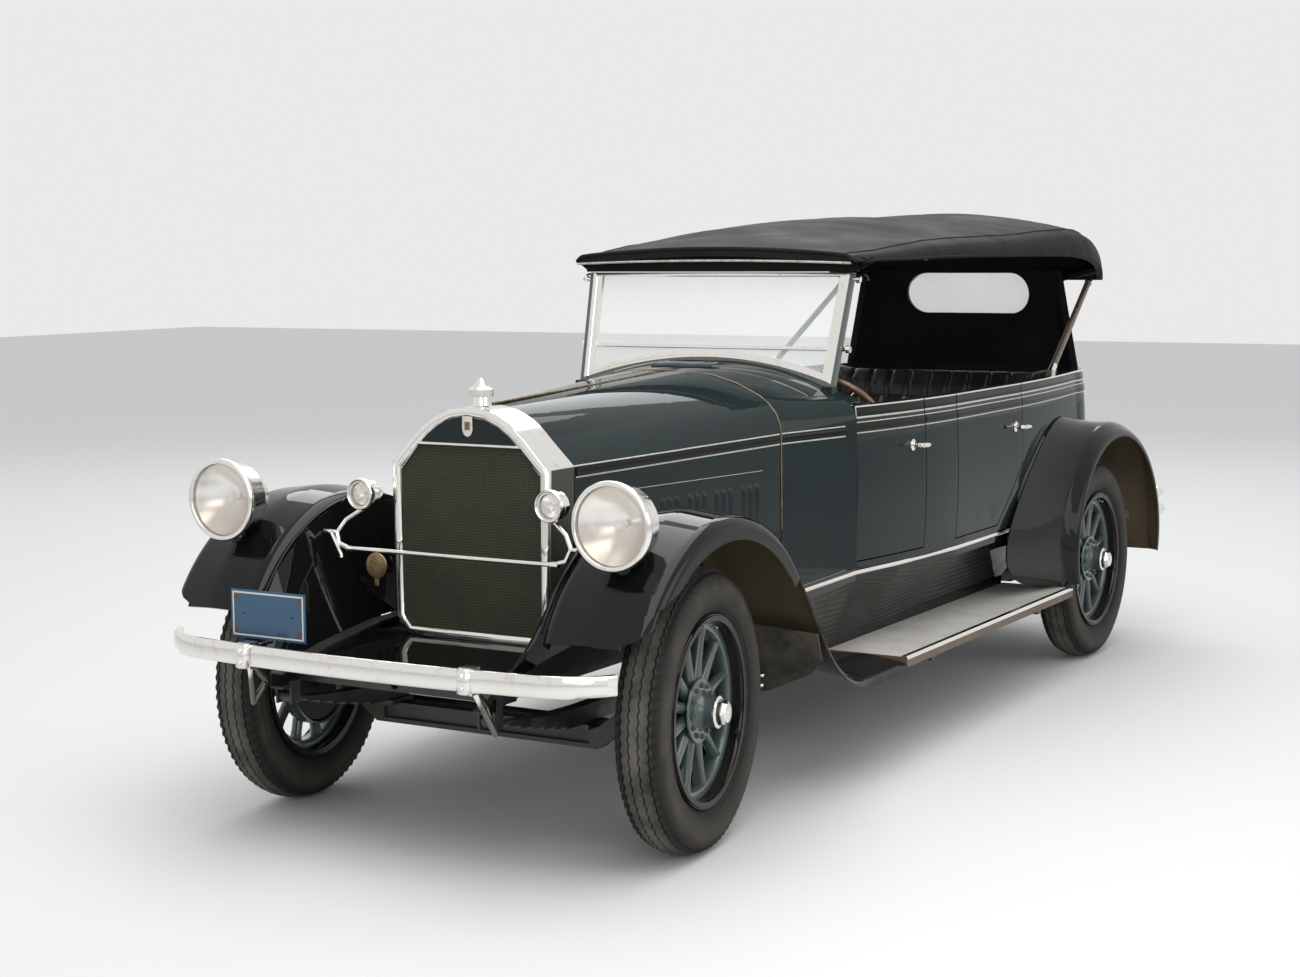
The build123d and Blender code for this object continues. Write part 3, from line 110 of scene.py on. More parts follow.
class Finish:
    """A procedural material, named for what is painted, plated, woven or cast."""

    def __init__(self, name, **constants):
        self.material = bpy.data.materials.new(name)
        self.material.use_nodes = True
        self.tree = self.material.node_tree
        self.shader = self.tree.nodes["Principled BSDF"]
        self.set(**constants)

    def set(self, **sockets):
        """Puts values or wires on the surface shader's own sockets."""
        for key, value in sockets.items():
            self.plug(self.shader.inputs[key.replace("_", " ")], value)
        return self

    def plug(self, socket, value):
        if isinstance(value, Wire):
            self.tree.links.new(value.socket, socket)
        elif isinstance(value, tuple) and len(value) == 3 and socket.type == "RGBA":
            socket.default_value = (*value, 1)
        else:
            socket.default_value = value

    def node(self, kind, settings=None, out=0, values=(), **sockets):
        """Any node: its settings go in first, then the values or wires of its sockets."""
        made = self.tree.nodes.new("ShaderNode" + kind)
        for key, value in (settings or {}).items():
            setattr(made, key, value)
        for i, value in enumerate(values):
            self.plug(made.inputs[i], value)
        for key, value in sockets.items():
            self.plug(made.inputs[key.replace("_", " ")], value)
        return Wire(self, made.outputs[out])

    def place(self):
        """The point in the piece's own frame, then its x, y and z."""
        at = self.node("TexCoord", out="Object")
        return at, *self.split(at)

    def split(self, value):
        """The three parts of a vector."""
        parts = self.tree.nodes.new("ShaderNodeSeparateXYZ")
        self.plug(parts.inputs[0], value)
        return [Wire(self, one) for one in parts.outputs]

    def noise(self, scale, detail, at):
        return self.node("TexNoise", out="Fac", Vector=at, Scale=scale, Detail=detail)

    def mix(self, factor, a, b):
        """Two colours mixed by a factor."""
        made = self.tree.nodes.new("ShaderNodeMix")
        made.data_type = "RGBA"
        self.plug(made.inputs[0], factor)
        self.plug(made.inputs[6], a)
        self.plug(made.inputs[7], b)
        return Wire(self, made.outputs[2])

    def span(self, value, low, high, to_low=0.0, to_high=1.0):
        """A value between low and high, taken to another span and held at its ends."""
        return self.node("MapRange", values=(value, low, high, to_low, to_high))

    def mottle(self, scale, detail, at, low, high, first, second):
        """Two colours mixed by a noise, which is held between low and high."""
        return self.mix(self.span(self.noise(scale, detail, at), low, high), first, second)

    def bump(self, height, strength, distance):
        self.set(Normal=self.node("Bump", Height=height, Strength=strength, Distance=distance))


floor_mesh = bpy.data.meshes.new("floor")
floor_mesh.from_pydata([(-30, -30, 0), (30, -30, 0), (30, 30, 0), (-30, 30, 0)], [], [(0, 1, 2, 3)])
floor_look = Finish("pale_floor", Base_Color=(0.66, 0.66, 0.65), Roughness=0.9)
floor_mesh.materials.append(floor_look.material)
studio_floor = bpy.data.objects.new("studio_floor", floor_mesh)
scene.collection.objects.link(studio_floor)

world = bpy.data.worlds.new("studio")
scene.world = world
world.use_nodes = True
sky = world.node_tree
for old in list(sky.nodes):
    sky.nodes.remove(old)
paths = sky.nodes.new("ShaderNodeLightPath")
lit, shown, choose = (sky.nodes.new("ShaderNode" + k) for k in ("Background", "Background", "MixShader"))
lit.inputs["Color"].default_value = (0.90, 0.91, 0.93, 1)
lit.inputs["Strength"].default_value = 0.92
shown.inputs["Color"].default_value = (0.82, 0.82, 0.81, 1)
seen = sky.nodes.new("ShaderNodeMath")
seen.operation = "MAXIMUM"
sky.links.new(paths.outputs["Is Camera Ray"], seen.inputs[0])
sky.links.new(paths.outputs["Is Transmission Ray"], seen.inputs[1])
glossy = sky.nodes.new("ShaderNodeMath")
glossy.operation = "MAXIMUM"
sky.links.new(seen.outputs[0], glossy.inputs[0])
sky.links.new(paths.outputs["Is Glossy Ray"], glossy.inputs[1])
sky.links.new(glossy.outputs[0], choose.inputs[0])
sky.links.new(lit.outputs[0], choose.inputs[1])
sky.links.new(shown.outputs[0], choose.inputs[2])
world_out = sky.nodes.new("ShaderNodeOutputWorld")
sky.links.new(choose.outputs[0], world_out.inputs[0])


def show(name, form, body, look, replaces=(), smooth=40, place=None):
    """Puts a mesh or a bench on the car: its finish, its smooth shading, and the body that it moves with."""
    mesh = form.mesh(name) if isinstance(form, Bench) else form
    piece = bpy.data.objects.new(name, mesh)
    scene.collection.objects.link(piece)
    if place is not None:
        piece.matrix_world = place
    for one in (look if isinstance(look, (list, tuple)) else [look]):
        mesh.materials.append(one.material)
    for face in mesh.polygons:
        face.use_smooth = True
    if smooth:
        mesh.set_sharp_from_angle(angle=radians(smooth))
    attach(piece, body)
    if replaces:
        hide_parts(*replaces)
    return piece


def dress(look, *names):
    """Gives a finish to solids of the frame whose shape is right already."""
    for name in names:
        node = nodes[name]
        node.data.materials.clear()
        node.data.materials.append(look.material)


# Frame, axles, springs, knuckles and the rods between them: pressed and forged steel in black chassis
# paint, dulled by road dust. The rails are bolted to the springs by their hangers.
chassis_paint = Finish("chassis_paint", Roughness=0.5, Coat_Weight=0.2)
at, x, y, z = chassis_paint.place()
dust = chassis_paint.span(chassis_paint.noise(9, 6, at) + chassis_paint.span(z, 0.15, 0.8, 0.12, -0.15), 0.5,
                          0.72)
chassis_paint.set(Base_Color=chassis_paint.mix(dust * 0.5, (0.012, 0.012, 0.013), (0.09, 0.078, 0.062)),
                  Roughness=chassis_paint.span(dust, 0, 1, 0.38, 0.8))
chassis_paint.bump(chassis_paint.noise(160, 4, at), 0.25, 0.0006)
dress(chassis_paint, "frame", "front_axle", "leaf_springs", "rear_axle", "fuel_tank", "knuckle_left",
      "knuckle_right", "tie_rod", "spare_carrier", "steering_column")

cast_grey = Finish("cast_grey", Roughness=0.7, Metallic=0.4)
at, x, y, z = cast_grey.place()
grime = cast_grey.noise(7, 6, at)
cast_grey.set(Base_Color=cast_grey.mix(cast_grey.span(grime, 0.35, 0.7), (0.10, 0.10, 0.095),
                                       (0.035, 0.03, 0.025)))
cast_grey.bump(cast_grey.noise(220, 3, at), 0.5, 0.001)
dress(cast_grey, "engine")

pipe_steel = Finish("pipe_steel", Metallic=0.8, Roughness=0.55)
at, x, y, z = pipe_steel.place()
pipe_steel.set(Base_Color=pipe_steel.mottle(14, 6, at, 0.4, 0.7, (0.16, 0.15, 0.14), (0.11, 0.055, 0.03)))
dress(pipe_steel, "exhaust")

# Enamel and nickel, used from the wheels up. The enamel is gloss black over steel sheet, and road dust has
# dried on the undersides of the fenders; their brown there is partly that dust and partly a painted brown
# reflection.
# The nickel is plated on brass and steel and polished.
def spot(x, y, z):
    """A point of the car, with y counted rearwards from the front axle."""
    return Vector((x, y - middle_y, z))


enamel = Finish("black_enamel", Specular_IOR_Level=0.0, Coat_IOR=1.4, Coat_Roughness=0.02)
at, x, y, z = enamel.place()
facing = enamel.split(enamel.node("NewGeometry", out="Normal"))
axle_y = (y > 0) * 3.5 - 1.7735
toward = facing[1] * (y - axle_y) + facing[2] * (z - 0.415)
reach = ((y - axle_y) ** 2 + (z - 0.415) ** 2) ** 0.5
# The fenders' undersides facing the wheels are painted brown: road dust, and a painted brown reflection.
underside_dust_and_reflection = enamel.span(toward, -0.10, -0.22) * (reach < 0.66) * (abs(x) > 0.50)
haze = enamel.noise(6, 5, at)
low_dust = enamel.span(haze + enamel.span(z, 0.28, 0.60, 0.12, -0.2), 0.50, 0.85)
film = enamel.mix(low_dust * 0.5, (0.0042, 0.0045, 0.0046), (0.040, 0.035, 0.026))
enamel.set(Base_Color=enamel.mix(underside_dust_and_reflection * 0.85, film, (0.085, 0.068, 0.045)),
           Roughness=enamel.span(underside_dust_and_reflection + low_dust * 0.35, 0, 1, 0.10, 0.75),
           Coat_Weight=enamel.span(underside_dust_and_reflection + low_dust * 0.5, 0, 1, 0.85, 0.0))
enamel.bump(enamel.noise(3, 2, at), 0.05, 0.004)


def plated(look, scale, detail, at, dull=(0.66, 0.61, 0.54)):
    """The noise that spots a plated sheet, and its colour, which yellows in the spots."""
    spots = look.noise(scale, detail, at)
    return spots, look.mix(look.span(spots, 0.58, 0.90), (0.86, 0.84, 0.80), dull)


nickel = Finish("nickel_plate", Metallic=1.0, Roughness=0.14)
at, x, y, z = nickel.place()
spots, bright = plated(nickel, 26, 8, at)
nickel.set(Base_Color=bright,
           Roughness=nickel.span(spots, 0.4, 0.85, 0.08, 0.30))
nickel.bump(nickel.noise(5, 3, at), 0.03, 0.004)


class Bench:
    """Gathers the points and faces of one piece, with the finish that each face takes."""

    def __init__(self):
        self.points, self.faces, self.looks = [], [], []

    def grid(self, rows, around=False, along=False, look=0, flip=False):
        """Quads between rows of points; around joins a row's ends, along joins the last row to the first."""
        first, width = len(self.points), len(rows[0])
        for row in rows:
            self.points += [Vector(p) for p in row]
        for i in range(len(rows) - (0 if along else 1)):
            a, b = first + i * width, first + (i + 1) % len(rows) * width
            for j in range(width - (0 if around else 1)):
                k = (j + 1) % width
                face = (a + j, a + k, b + k, b + j)
                self.faces.append(face[::-1] if flip else face)
                self.looks.append(look)
        return self

    def cap(self, ring, look=0):
        first = len(self.points)
        self.points += [Vector(p) for p in ring]
        self.faces.append(tuple(range(first, first + len(ring))))
        self.looks.append(look)
        return self

    def lathe(self, profile, steps, look=0, closed=True, centre=(0, 0, 0), axis="X", shape=None):
        """Turns (along, radius) points about an axis; shape moves each point by its turn."""
        rows = []
        for i in range(steps):
            angle = 2 * pi * i / steps
            row = []
            for k, (a, r) in enumerate(profile):
                if shape:
                    a, r = shape(i, k, a, r)
                u, v = r * cos(angle), r * sin(angle)
                p = {"X": (a, u, v), "Y": (u, a, v), "Z": (u, v, a)}[axis]
                row.append(Vector(p) + Vector(centre))
            rows.append(row)
        return self.grid(rows, around=closed, along=True, look=look)

    def tube(self, path, radius, sides=10, look=0, closed=False):
        """A round bar along a path; radius is a number or one for each point."""
        path = [Vector(p) for p in path]
        sizes = radius if isinstance(radius, (list, tuple)) else [radius] * len(path)
        rows, side = [], None
        for i, p in enumerate(path):
            before = path[i - 1] if i or closed else p
            after = path[(i + 1) % len(path)] if i < len(path) - 1 or closed else p
            run = (after - before).normalized()
            if side is None:
                side = run.orthogonal().normalized()
            side = (side - run * side.dot(run)).normalized()
            other = run.cross(side)
            turns = [2 * pi * k / sides for k in range(sides)]
            rows.append([p + side * (sizes[i] * cos(a)) + other * (sizes[i] * sin(a)) for a in turns])
        self.grid(rows, around=True, along=closed, look=look)
        if not closed:
            self.cap(rows[0][::-1], look)
            self.cap(rows[-1], look)
        return self

    def block(self, low, high, bevel, look=0):
        """A box with its edges taken off."""
        x0, y0, z0 = low
        x1, y1, z1 = high
        b = bevel
        levels = [(z0, b), (z0 + b, 0), (z1 - b, 0), (z1, b)]
        rows = []
        for level, inset in levels:
            ring = []
            for cx, cy, sx, sy in ((x1, y1, 1, 1), (x0, y1, -1, 1), (x0, y0, -1, -1), (x1, y0, 1, -1)):
                corner = [(cx - sx * inset, cy - sy * (b + inset)), (cx - sx * (b + inset), cy - sy * inset)]
                if sx * sy < 0:
                    corner.reverse()
                ring += [(u, v, level) for u, v in corner]
            rows.append(ring)
        self.grid(rows, around=True, look=look)
        self.cap(rows[0][::-1], look)
        self.cap(rows[-1], look)
        return self

    def ball(self, centre, radius, steps=12, look=0, stretch=(1, 1, 1)):
        rows = []
        for i in range(steps // 2 + 1):
            a = -pi / 2 + pi * i / (steps // 2)
            rows.append([Vector(centre) + Vector((radius * cos(a) * cos(b) * stretch[0],
                                                  radius * cos(a) * sin(b) * stretch[1],
                                                  radius * sin(a) * stretch[2]))
                         for b in (2 * pi * k / steps for k in range(steps))])
        return self.grid(rows, around=True, look=look)

    def moved(self, matrix):
        self.points = [matrix @ p for p in self.points]
        return self

    def flip(self):
        """Moves the piece to the other side of the car."""
        self.points = [Vector((-p.x, p.y, p.z)) for p in self.points]
        self.faces = [face[::-1] for face in self.faces]
        return self

    def both_sides(self):
        """Adds the mirror image across the car's middle."""
        count = len(self.points)
        self.points += [Vector((-p.x, p.y, p.z)) for p in self.points]
        self.faces += [tuple(count + i for i in reversed(face)) for face in self.faces]
        self.looks += self.looks
        return self

    def mesh(self, name):
        """Joins doubled points, drops flat faces and turns all faces outwards."""
        mesh = bpy.data.meshes.new(name)
        mesh.from_pydata([tuple(p) for p in self.points], [], self.faces)
        mesh.polygons.foreach_set("material_index", self.looks)
        work = bmesh.new()
        work.from_mesh(mesh)
        bmesh.ops.remove_doubles(work, verts=work.verts, dist=1e-5)
        bmesh.ops.dissolve_degenerate(work, edges=work.edges, dist=1e-6)
        bmesh.ops.recalc_face_normals(work, faces=work.faces)
        work.to_mesh(mesh)
        work.free()
        return mesh


# Tyres: 33 by 6 black rubber on the rims, with zigzag ribs, notched shoulders and raised rings on the
# sidewalls, whose rubber has weathered to tan. Each is beaded on its rim and turns with its wheel.
tyre_radius = 0.419
pitches, pitch_steps = 80, 4
crown_drop = 4.72


def crown(x):
    return tyre_radius - crown_drop * x * x


def tread_profile():
    """(x, r, kind) over the tyre from bead to bead: kind z follows the zigzag, n is notched."""
    side = [(0.0515, 0.270, ""), (0.0525, 0.286, ""), (0.057, 0.291, ""), (0.0635, 0.299, ""),
            (0.0645, 0.3035, ""), (0.0665, 0.304, ""), (0.0715, 0.318, ""), (0.0742, 0.334, ""),
            (0.075, 0.350, ""), (0.0743, 0.364, ""), (0.0746, 0.366, ""), (0.0736, 0.370, ""),
            (0.0726, 0.372, ""), (0.0705, 0.382, ""), (0.0665, 0.3925, "n"),
            (0.062, crown(0.062) + 0.0005, "n"), (0.050, crown(0.050), "n")]
    ribs = []
    for groove in (0.0425, 0.0145):
        for step, depth in ((0.0032, 0), (0.0018, 0.0065), (-0.0018, 0.0065), (-0.0032, 0)):
            ribs.append((groove + step, crown(groove + step) - depth, "z"))
    half = side + ribs
    return half, [(-a, r, kind) for a, r, kind in reversed(half)]


near_half, far_half = tread_profile()
tread = near_half + far_half
tread_kinds = [kind for _, _, kind in tread]


def tread_shape(step, k, along, radius):
    part = step % pitch_steps
    zig = (0, 0.5, 1, 0.5)[part] - 0.5
    if tread_kinds[k] == "z":
        along += 0.0052 * zig
    elif tread_kinds[k] == "n" and part >= 2:
        radius -= 0.0055
    return along, radius


tyre = Bench().lathe([(a, r) for a, r, _ in tread], pitches * pitch_steps, shape=tread_shape)
tyre_rubber = Finish("tyre_rubber", Roughness=0.75, Specular_IOR_Level=0.25)
at, x, y, z = tyre_rubber.place()
reach = (y * y + z * z) ** 0.5
tan_ring = tyre_rubber.span(reach, 0.30, 0.345) * tyre_rubber.span(reach, 0.372, 0.396, 1, 0)
wear = tyre_rubber.noise(11, 6, at)
aged = tan_ring * tyre_rubber.span(wear, 0.25, 0.7)
worn = tyre_rubber.span(reach, 0.405, 0.418) * tyre_rubber.span(wear, 0.2, 0.6)
black = tyre_rubber.mix(worn * 0.9, (0.013, 0.013, 0.012), (0.120, 0.114, 0.094))
tyre_rubber.set(Base_Color=tyre_rubber.mix(aged * 0.85, black, (0.074, 0.064, 0.050)),
                Roughness=tyre_rubber.span(wear, 0.3, 0.7, 0.6, 0.85))
tyre_rubber.bump(tyre_rubber.noise(260, 3, at), 0.35, 0.0005)

steer_at_rest = radians(6.6)
kingpin_x, inset = 0.579, 0.132
wheel_places = {
    "front_left": (kingpin_x + inset * cos(steer_at_rest), inset * sin(steer_at_rest), steer_at_rest),
    "front_right": (-kingpin_x - inset * cos(steer_at_rest), -inset * sin(steer_at_rest), steer_at_rest + pi),
    "rear_left": (0.711, 3.454, 0.0),
    "rear_right": (-0.711, 3.454, pi),
}


def hub_frame(x, y, turn):
    """Place of a wheel whose axle points out along its own x."""
    return Matrix.Translation((x, y - middle_y, tyre_radius)) @ Matrix.Rotation(turn, 4, "Z")


stations = {name: (hub_frame(*at), "wheel_" + name) for name, at in wheel_places.items()}
spare_place = Matrix.Translation((0, 4.205 - middle_y, 0.800)) @ Matrix.Rotation(pi / 2, 4, "Z")
stations["spare"] = (spare_place, "car")
for name, (place, body) in stations.items():
    node = "spare_tyre" if name == "spare" else "tyre_" + name
    show("rubber_" + name, tyre, body, tyre_rubber, [node], smooth=32, place=place)

# Wheels: hickory spokes and felloe in teal paint, a steel rim in black enamel with its lock ring, a pressed
# hub flange held by bolts through the spokes, a ribbed brake drum and a hexagonal nickel cap.
wheel_teal = Finish("wheel_teal", Roughness=0.3, Coat_Weight=0.7, Coat_Roughness=0.08)
at, x, y, z = wheel_teal.place()
brush = wheel_teal.noise(13, 6, at)
wheel_teal.set(Base_Color=wheel_teal.mix(wheel_teal.span(brush, 0.3, 0.75), (0.036, 0.058, 0.057),
                                         (0.056, 0.082, 0.078)),
               Roughness=wheel_teal.span(brush, 0.3, 0.8, 0.22, 0.5))
wheel_teal.bump(wheel_teal.noise(90, 4, at), 0.12, 0.0005)

spoke_count, hub_face, flange_radius = 12, 0.030, 0.095


def spokes_and_felloe():
    bench = Bench()
    for i in range(spoke_count):
        angle = 2 * pi * (i + 0.5) / spoke_count
        out = Vector((0, -sin(angle), cos(angle)))
        across = Vector((0, cos(angle), sin(angle)))
        rows = []
        for r, wide, deep in ((0.050, 0.0185, 0.0215), (0.100, 0.0185, 0.0205), (0.125, 0.0165, 0.0195),
                              (0.165, 0.0145, 0.0185), (0.205, 0.0135, 0.0185), (0.226, 0.0145, 0.0205),
                              (0.2375, 0.0165, 0.0225)):
            turns = [2 * pi * k / 14 for k in range(14)]
            rows.append([out * r + across * (wide * cos(a)) + Vector((deep * sin(a), 0, 0)) for a in turns])
        bench.grid(rows, around=True)
    w = 0.024
    bench.lathe([(-w, 0.239), (-w + 0.003, 0.236), (w - 0.003, 0.236), (w, 0.239), (w, 0.262),
                 (w - 0.002, 0.2635), (-w + 0.002, 0.2635), (-w, 0.262)], 96)
    return bench


def hub_metal(capped):
    """Rim 1, drum and flanges 0, cap and valve 2; the spare has the rim alone."""
    bench = Bench()
    f, r, w = 0.283, 0.268, 0.062
    bench.lathe([(-w, f), (-w + 0.003, f + 0.0015), (-w + 0.006, f), (-w + 0.009, r), (w - 0.009, r),
                 (w - 0.006, f), (w - 0.003, f + 0.0015), (w, f), (w - 0.003, r - 0.003),
                 (w - 0.012, r - 0.007), (-w + 0.012, r - 0.007), (-w + 0.003, r - 0.003)], 96, look=1)
    bench.lathe([(w - 0.003, r - 0.004), (w + 0.001, f - 0.004), (w + 0.0025, f - 0.005),
                 (w + 0.001, r - 0.005)], 96, look=1)
    if not capped:
        return bench
    bench.lathe([(-0.070, 0.171), (-0.072, 0.178), (-0.060, 0.178), (-0.059, 0.1755), (-0.050, 0.1755),
                 (-0.049, 0.178), (-0.040, 0.178), (-0.039, 0.1755), (-0.030, 0.1755), (-0.029, 0.178),
                 (-0.022, 0.177), (-0.020, 0.170), (-0.020, 0.072), (-0.028, 0.070), (-0.028, 0.166),
                 (-0.030, 0.171)], 72)
    bench.lathe([(hub_face - 0.007, 0.050), (hub_face - 0.007, flange_radius),
                 (hub_face - 0.004, flange_radius + 0.0015), (hub_face, flange_radius),
                 (hub_face + 0.002, 0.088), (hub_face + 0.003, 0.060), (hub_face + 0.010, 0.052),
                 (0.060, 0.0465), (0.084, 0.045), (0.086, 0.040), (0.086, 0.010)], 60, closed=False)
    for i in range(spoke_count):
        angle = 2 * pi * i / spoke_count
        bolt = Vector((hub_face, 0.076 * sin(angle), 0.076 * cos(angle)))
        bench.lathe([(0.001, 0.0085), (0.009, 0.0085), (0.0105, 0.007), (0.0105, 0.0035), (0.0145, 0.003),
                     (0.0145, 0.0)], 6, look=0, closed=False, centre=bolt)
    bench.lathe([(0.083, 0.047), (0.088, 0.0475), (0.090, 0.044), (0.0915, 0.0385)], 48, look=2, closed=False)
    flats = [(0.0905, 0.0385), (0.0905, 0.0375), (0.106, 0.0375), (0.1115, 0.0345)]
    bench.lathe(flats, 6, look=2, closed=False)
    bench.lathe([(0.1115, 0.0300), (0.1165, 0.0280), (0.1185, 0.022), (0.1195, 0.012), (0.1200, 0.0)], 36,
                look=2, closed=False)
    bench.lathe([(0.1113, 0.0345), (0.1113, 0.0290)], 6, look=2, closed=False)
    bench.tube([(0.062, 0.0, 0.252), (0.074, 0.0, 0.249), (0.083, 0.0, 0.247)], [0.0045, 0.0045, 0.0035], 10,
               look=2)
    return bench


for name, (place, body) in stations.items():
    node = "spare_rim" if name == "spare" else "wheel_" + name
    show("hub_and_rim_" + name, hub_metal(capped=name != "spare"), body, [wheel_teal, enamel, nickel],
         [node], smooth=35, place=place)
    if name != "spare":
        show("spokes_" + name, spokes_and_felloe(), body, wheel_teal, smooth=50, place=place)

# Fenders and aprons: crowned steel sheet in black enamel with a rolled edge, bolted to the frame and to the
# running boards. A rubber flap is bolted under each front fender's tail behind the wheel.
dress(enamel, "front_fenders", "rear_fenders", "front_aprons", "splash_aprons")

fender_centre, fender_radius, fender_side = (0.030, 0.420), 0.590, 0.845


def fender_edge(trim, angles):
    """Side view points on an arc around the front fender's centre, trim under its crown."""
    r = fender_radius - trim
    return [(fender_centre[0] + r * cos(radians(a)), fender_centre[1] + r * sin(radians(a))) for a in angles]


rolled = Bench()
front_lip = fender_edge(0.084, range(128, 40, -4))
rolled.tube([spot(fender_side - 0.003, y, z) for y, z in front_lip], 0.0042, 8)
rolled.tube([spot(0.502, y, z) for y, z in fender_edge(0.024, range(150, 36, -4))], 0.0045, 8)
rolled.both_sides()
show("fender_beads", rolled, "car", enamel, smooth=60)

flap_rubber = Finish("flap_rubber", Roughness=0.8)
at, x, y, z = flap_rubber.place()
flap_rubber.set(Base_Color=flap_rubber.mottle(13, 6, at, 0.35, 0.65, (0.020, 0.019, 0.016),
                                              (0.075, 0.066, 0.048)))
flap_rubber.bump(flap_rubber.noise(120, 4, at), 0.3, 0.001)
flap = Bench()
outline = [(0.585, 0.575), (0.835, 0.560), (0.838, 0.470), (0.792, 0.420), (0.640, 0.352), (0.590, 0.340)]
for y in (0.592, 0.598):
    flap.points += [spot(x, y + (0.575 - z) * 0.28, z) for x, z in outline]
count = len(outline)
flap.faces = [tuple(range(count))[::-1], tuple(range(count, 2 * count))]
flap.faces += [(i, (i + 1) % count, count + (i + 1) % count, count + i) for i in range(count)]
flap.looks = [0] * len(flap.faces)
for x, z in ((0.615, 0.368), (0.622, 0.402)):
    flap.lathe([(-0.002, 0.0075), (-0.006, 0.007), (-0.008, 0.004), (-0.008, 0.0)], 10, look=1, closed=False,
               axis="Y", centre=spot(x, 0.590 + (0.575 - z) * 0.28, z))
flap.both_sides()
show("fender_flaps", flap, "car", [flap_rubber, nickel], smooth=30)

# Running boards: planks under a pale ribbed mat, with an aluminium strip around the outer edge.
board_mat = Finish("board_mat", Roughness=0.5)
at, x, y, z = board_mat.place()
facing = board_mat.split(board_mat.node("NewGeometry", out="Normal"))
rib = abs((x * 62.5) % 1 - 0.5)
soil = board_mat.noise(5, 7, at)
mat_colour = board_mat.mix(board_mat.span(soil, 0.42, 0.75), (0.50, 0.49, 0.455), (0.36, 0.34, 0.30))
board_mat.set(Base_Color=board_mat.mix(facing[2] > 0.6, (0.115, 0.085, 0.055), mat_colour),
              Roughness=board_mat.span(soil, 0.3, 0.8, 0.42, 0.7))
board_mat.bump(board_mat.span(rib, 0.12, 0.36) * (facing[2] > 0.6), 0.6, 0.0012)
dress(board_mat, "running_boards")
trim = Bench()
y0, y1, outer, low, top = 1.3003, 2.975, 0.832, 0.3565, 0.3665
corner = [(outer - 0.022, top + 0.0004), (outer - 0.022, top + 0.0016), (outer - 0.004, top + 0.0016),
          (outer + 0.0012, top - 0.004), (outer + 0.0012, low), (outer - 0.0005, low),
          (outer - 0.0005, top - 0.007), (outer - 0.007, top + 0.0004)]
trim.grid([[spot(x, y, z) for x, z in corner] for y in (y0, (y0 + y1) / 2, y1)], around=True)
trim.cap([spot(x, y0, z) for x, z in corner][::-1]).cap([spot(x, y1, z) for x, z in corner])
trim.both_sides()
show("board_trim", trim, "car", nickel, smooth=30)

# Sill strip: bright half-round moulding on the top of the splash aprons, and a bright plate on the ledge that
# carries them forward beside the hood.
sill = Bench()
sill_points = ((0.885, 0.632), (1.345, 0.618), (1.620, 0.655), (2.070, 0.688), (2.700, 0.688), (2.955, 0.680))
section = ((-0.007, -0.001), (-0.007, 0.004), (-0.003, 0.0065), (0.004, 0.0065), (0.007, 0.004),
           (0.007, -0.001))
rows = [[spot(x + out, y, 0.6355 + up) for up, out in section] for y, x in sill_points]
sill.grid(rows, around=True).cap(rows[0][::-1]).cap(rows[-1])
ledge = ((0.437, 0.886), (0.449, 1.086), (0.468, 1.092), (0.606, 1.318), (0.6255, 0.886))
sill.grid([[spot(x, y, z) for x, y in ledge] for z in (0.6499, 0.6512)], around=True)
sill.cap([spot(x, y, 0.6512) for x, y in ledge]).cap([spot(x, y, 0.6499) for x, y in ledge][::-1])
sill.both_sides()
show("sill_strips", sill, "car", nickel, smooth=35)

# Body panels: steel sheet on a wooden frame in slate lacquer, hand rubbed. A black band and a black moulding
# run around the belt between fine pale lines, and on along the cowl and the hood.
lacquer = Finish("slate_lacquer", Specular_IOR_Level=0.0, Coat_IOR=1.4, Coat_Roughness=0.03)
at, x, y, z = lacquer.place()
cloud = lacquer.noise(2.2, 4, at)
film = lacquer.span(lacquer.noise(7, 6, at) + lacquer.span(z, 0.62, 0.95, 0.12, -0.2), 0.55, 0.9)
shade = lacquer.mix(lacquer.span(cloud, 0.3, 0.7), (0.0125, 0.0190, 0.0195), (0.0160, 0.0235, 0.0240))
lacquer.set(Base_Color=lacquer.mix(film * 0.4, shade, (0.060, 0.058, 0.046)),
            Roughness=lacquer.span(lacquer.noise(30, 5, at) + film * 0.4, 0.3, 1.0, 0.20, 0.55),
            Coat_Weight=lacquer.span(film, 0, 1, 0.70, 0.3))
lacquer.bump(lacquer.noise(3, 2, at), 0.04, 0.003)
dress(lacquer, "cowl", "body_tub", "door_front_left", "door_front_right", "door_rear_left", "door_rear_right",
      "hood_left", "hood_right")
line_paint = Finish("line_paint", Roughness=0.35, Coat_Weight=0.8)
at, x, y, z = line_paint.place()
line_paint.set(Base_Color=line_paint.mottle(40, 5, at, 0.4, 0.75, (0.42, 0.46, 0.385), (0.29, 0.32, 0.265)))


def skin_of(*names):
    """The outside of some solids, to lay strips on."""
    points, faces = [], []
    for name in names:
        node = nodes[name]
        first = len(points)
        points += [node.matrix_world @ v.co for v in node.data.vertices]
        faces += [[first + i for i in p.vertices] for p in node.data.polygons]
    return BVHTree.FromPolygons(points, faces)


def touch(skin, start, aim):
    """Where a line from start meets the skin, and the skin's normal towards start."""
    run = (Vector(aim) - Vector(start)).normalized()
    near = None
    for shift in (Vector(), Vector((0.0005, 0.0007, 0.0003)), Vector((-0.0007, -0.0004, -0.0005))):
        hit, normal, _, far = skin.ray_cast(Vector(start) + shift, run)
        if hit is not None and (near is None or far < near[2] - 0.0008):
            near = hit, -normal if normal.dot(run) > 0 else normal, far
    return near and near[:2]


def ribbon(bench, course, height, thick, look=0):
    """A strip with rounded edges along (point, outward normal) pairs."""
    rows = []
    for i, (p, n) in enumerate(course):
        run = (course[min(i + 1, len(course) - 1)][0] - course[max(i - 1, 0)][0]).normalized()
        across = run.cross(n).normalized()
        rows.append([p + across * (height * a) + n * b for a,
                     b in ((-0.5, -0.002), (-0.5, thick * 0.5), (-0.32, thick), (0.32, thick),
                           (0.5, thick * 0.5), (0.5, -0.002))])
    return bench.grid(rows, around=True, look=look).cap(rows[0][::-1], look).cap(rows[-1], look)


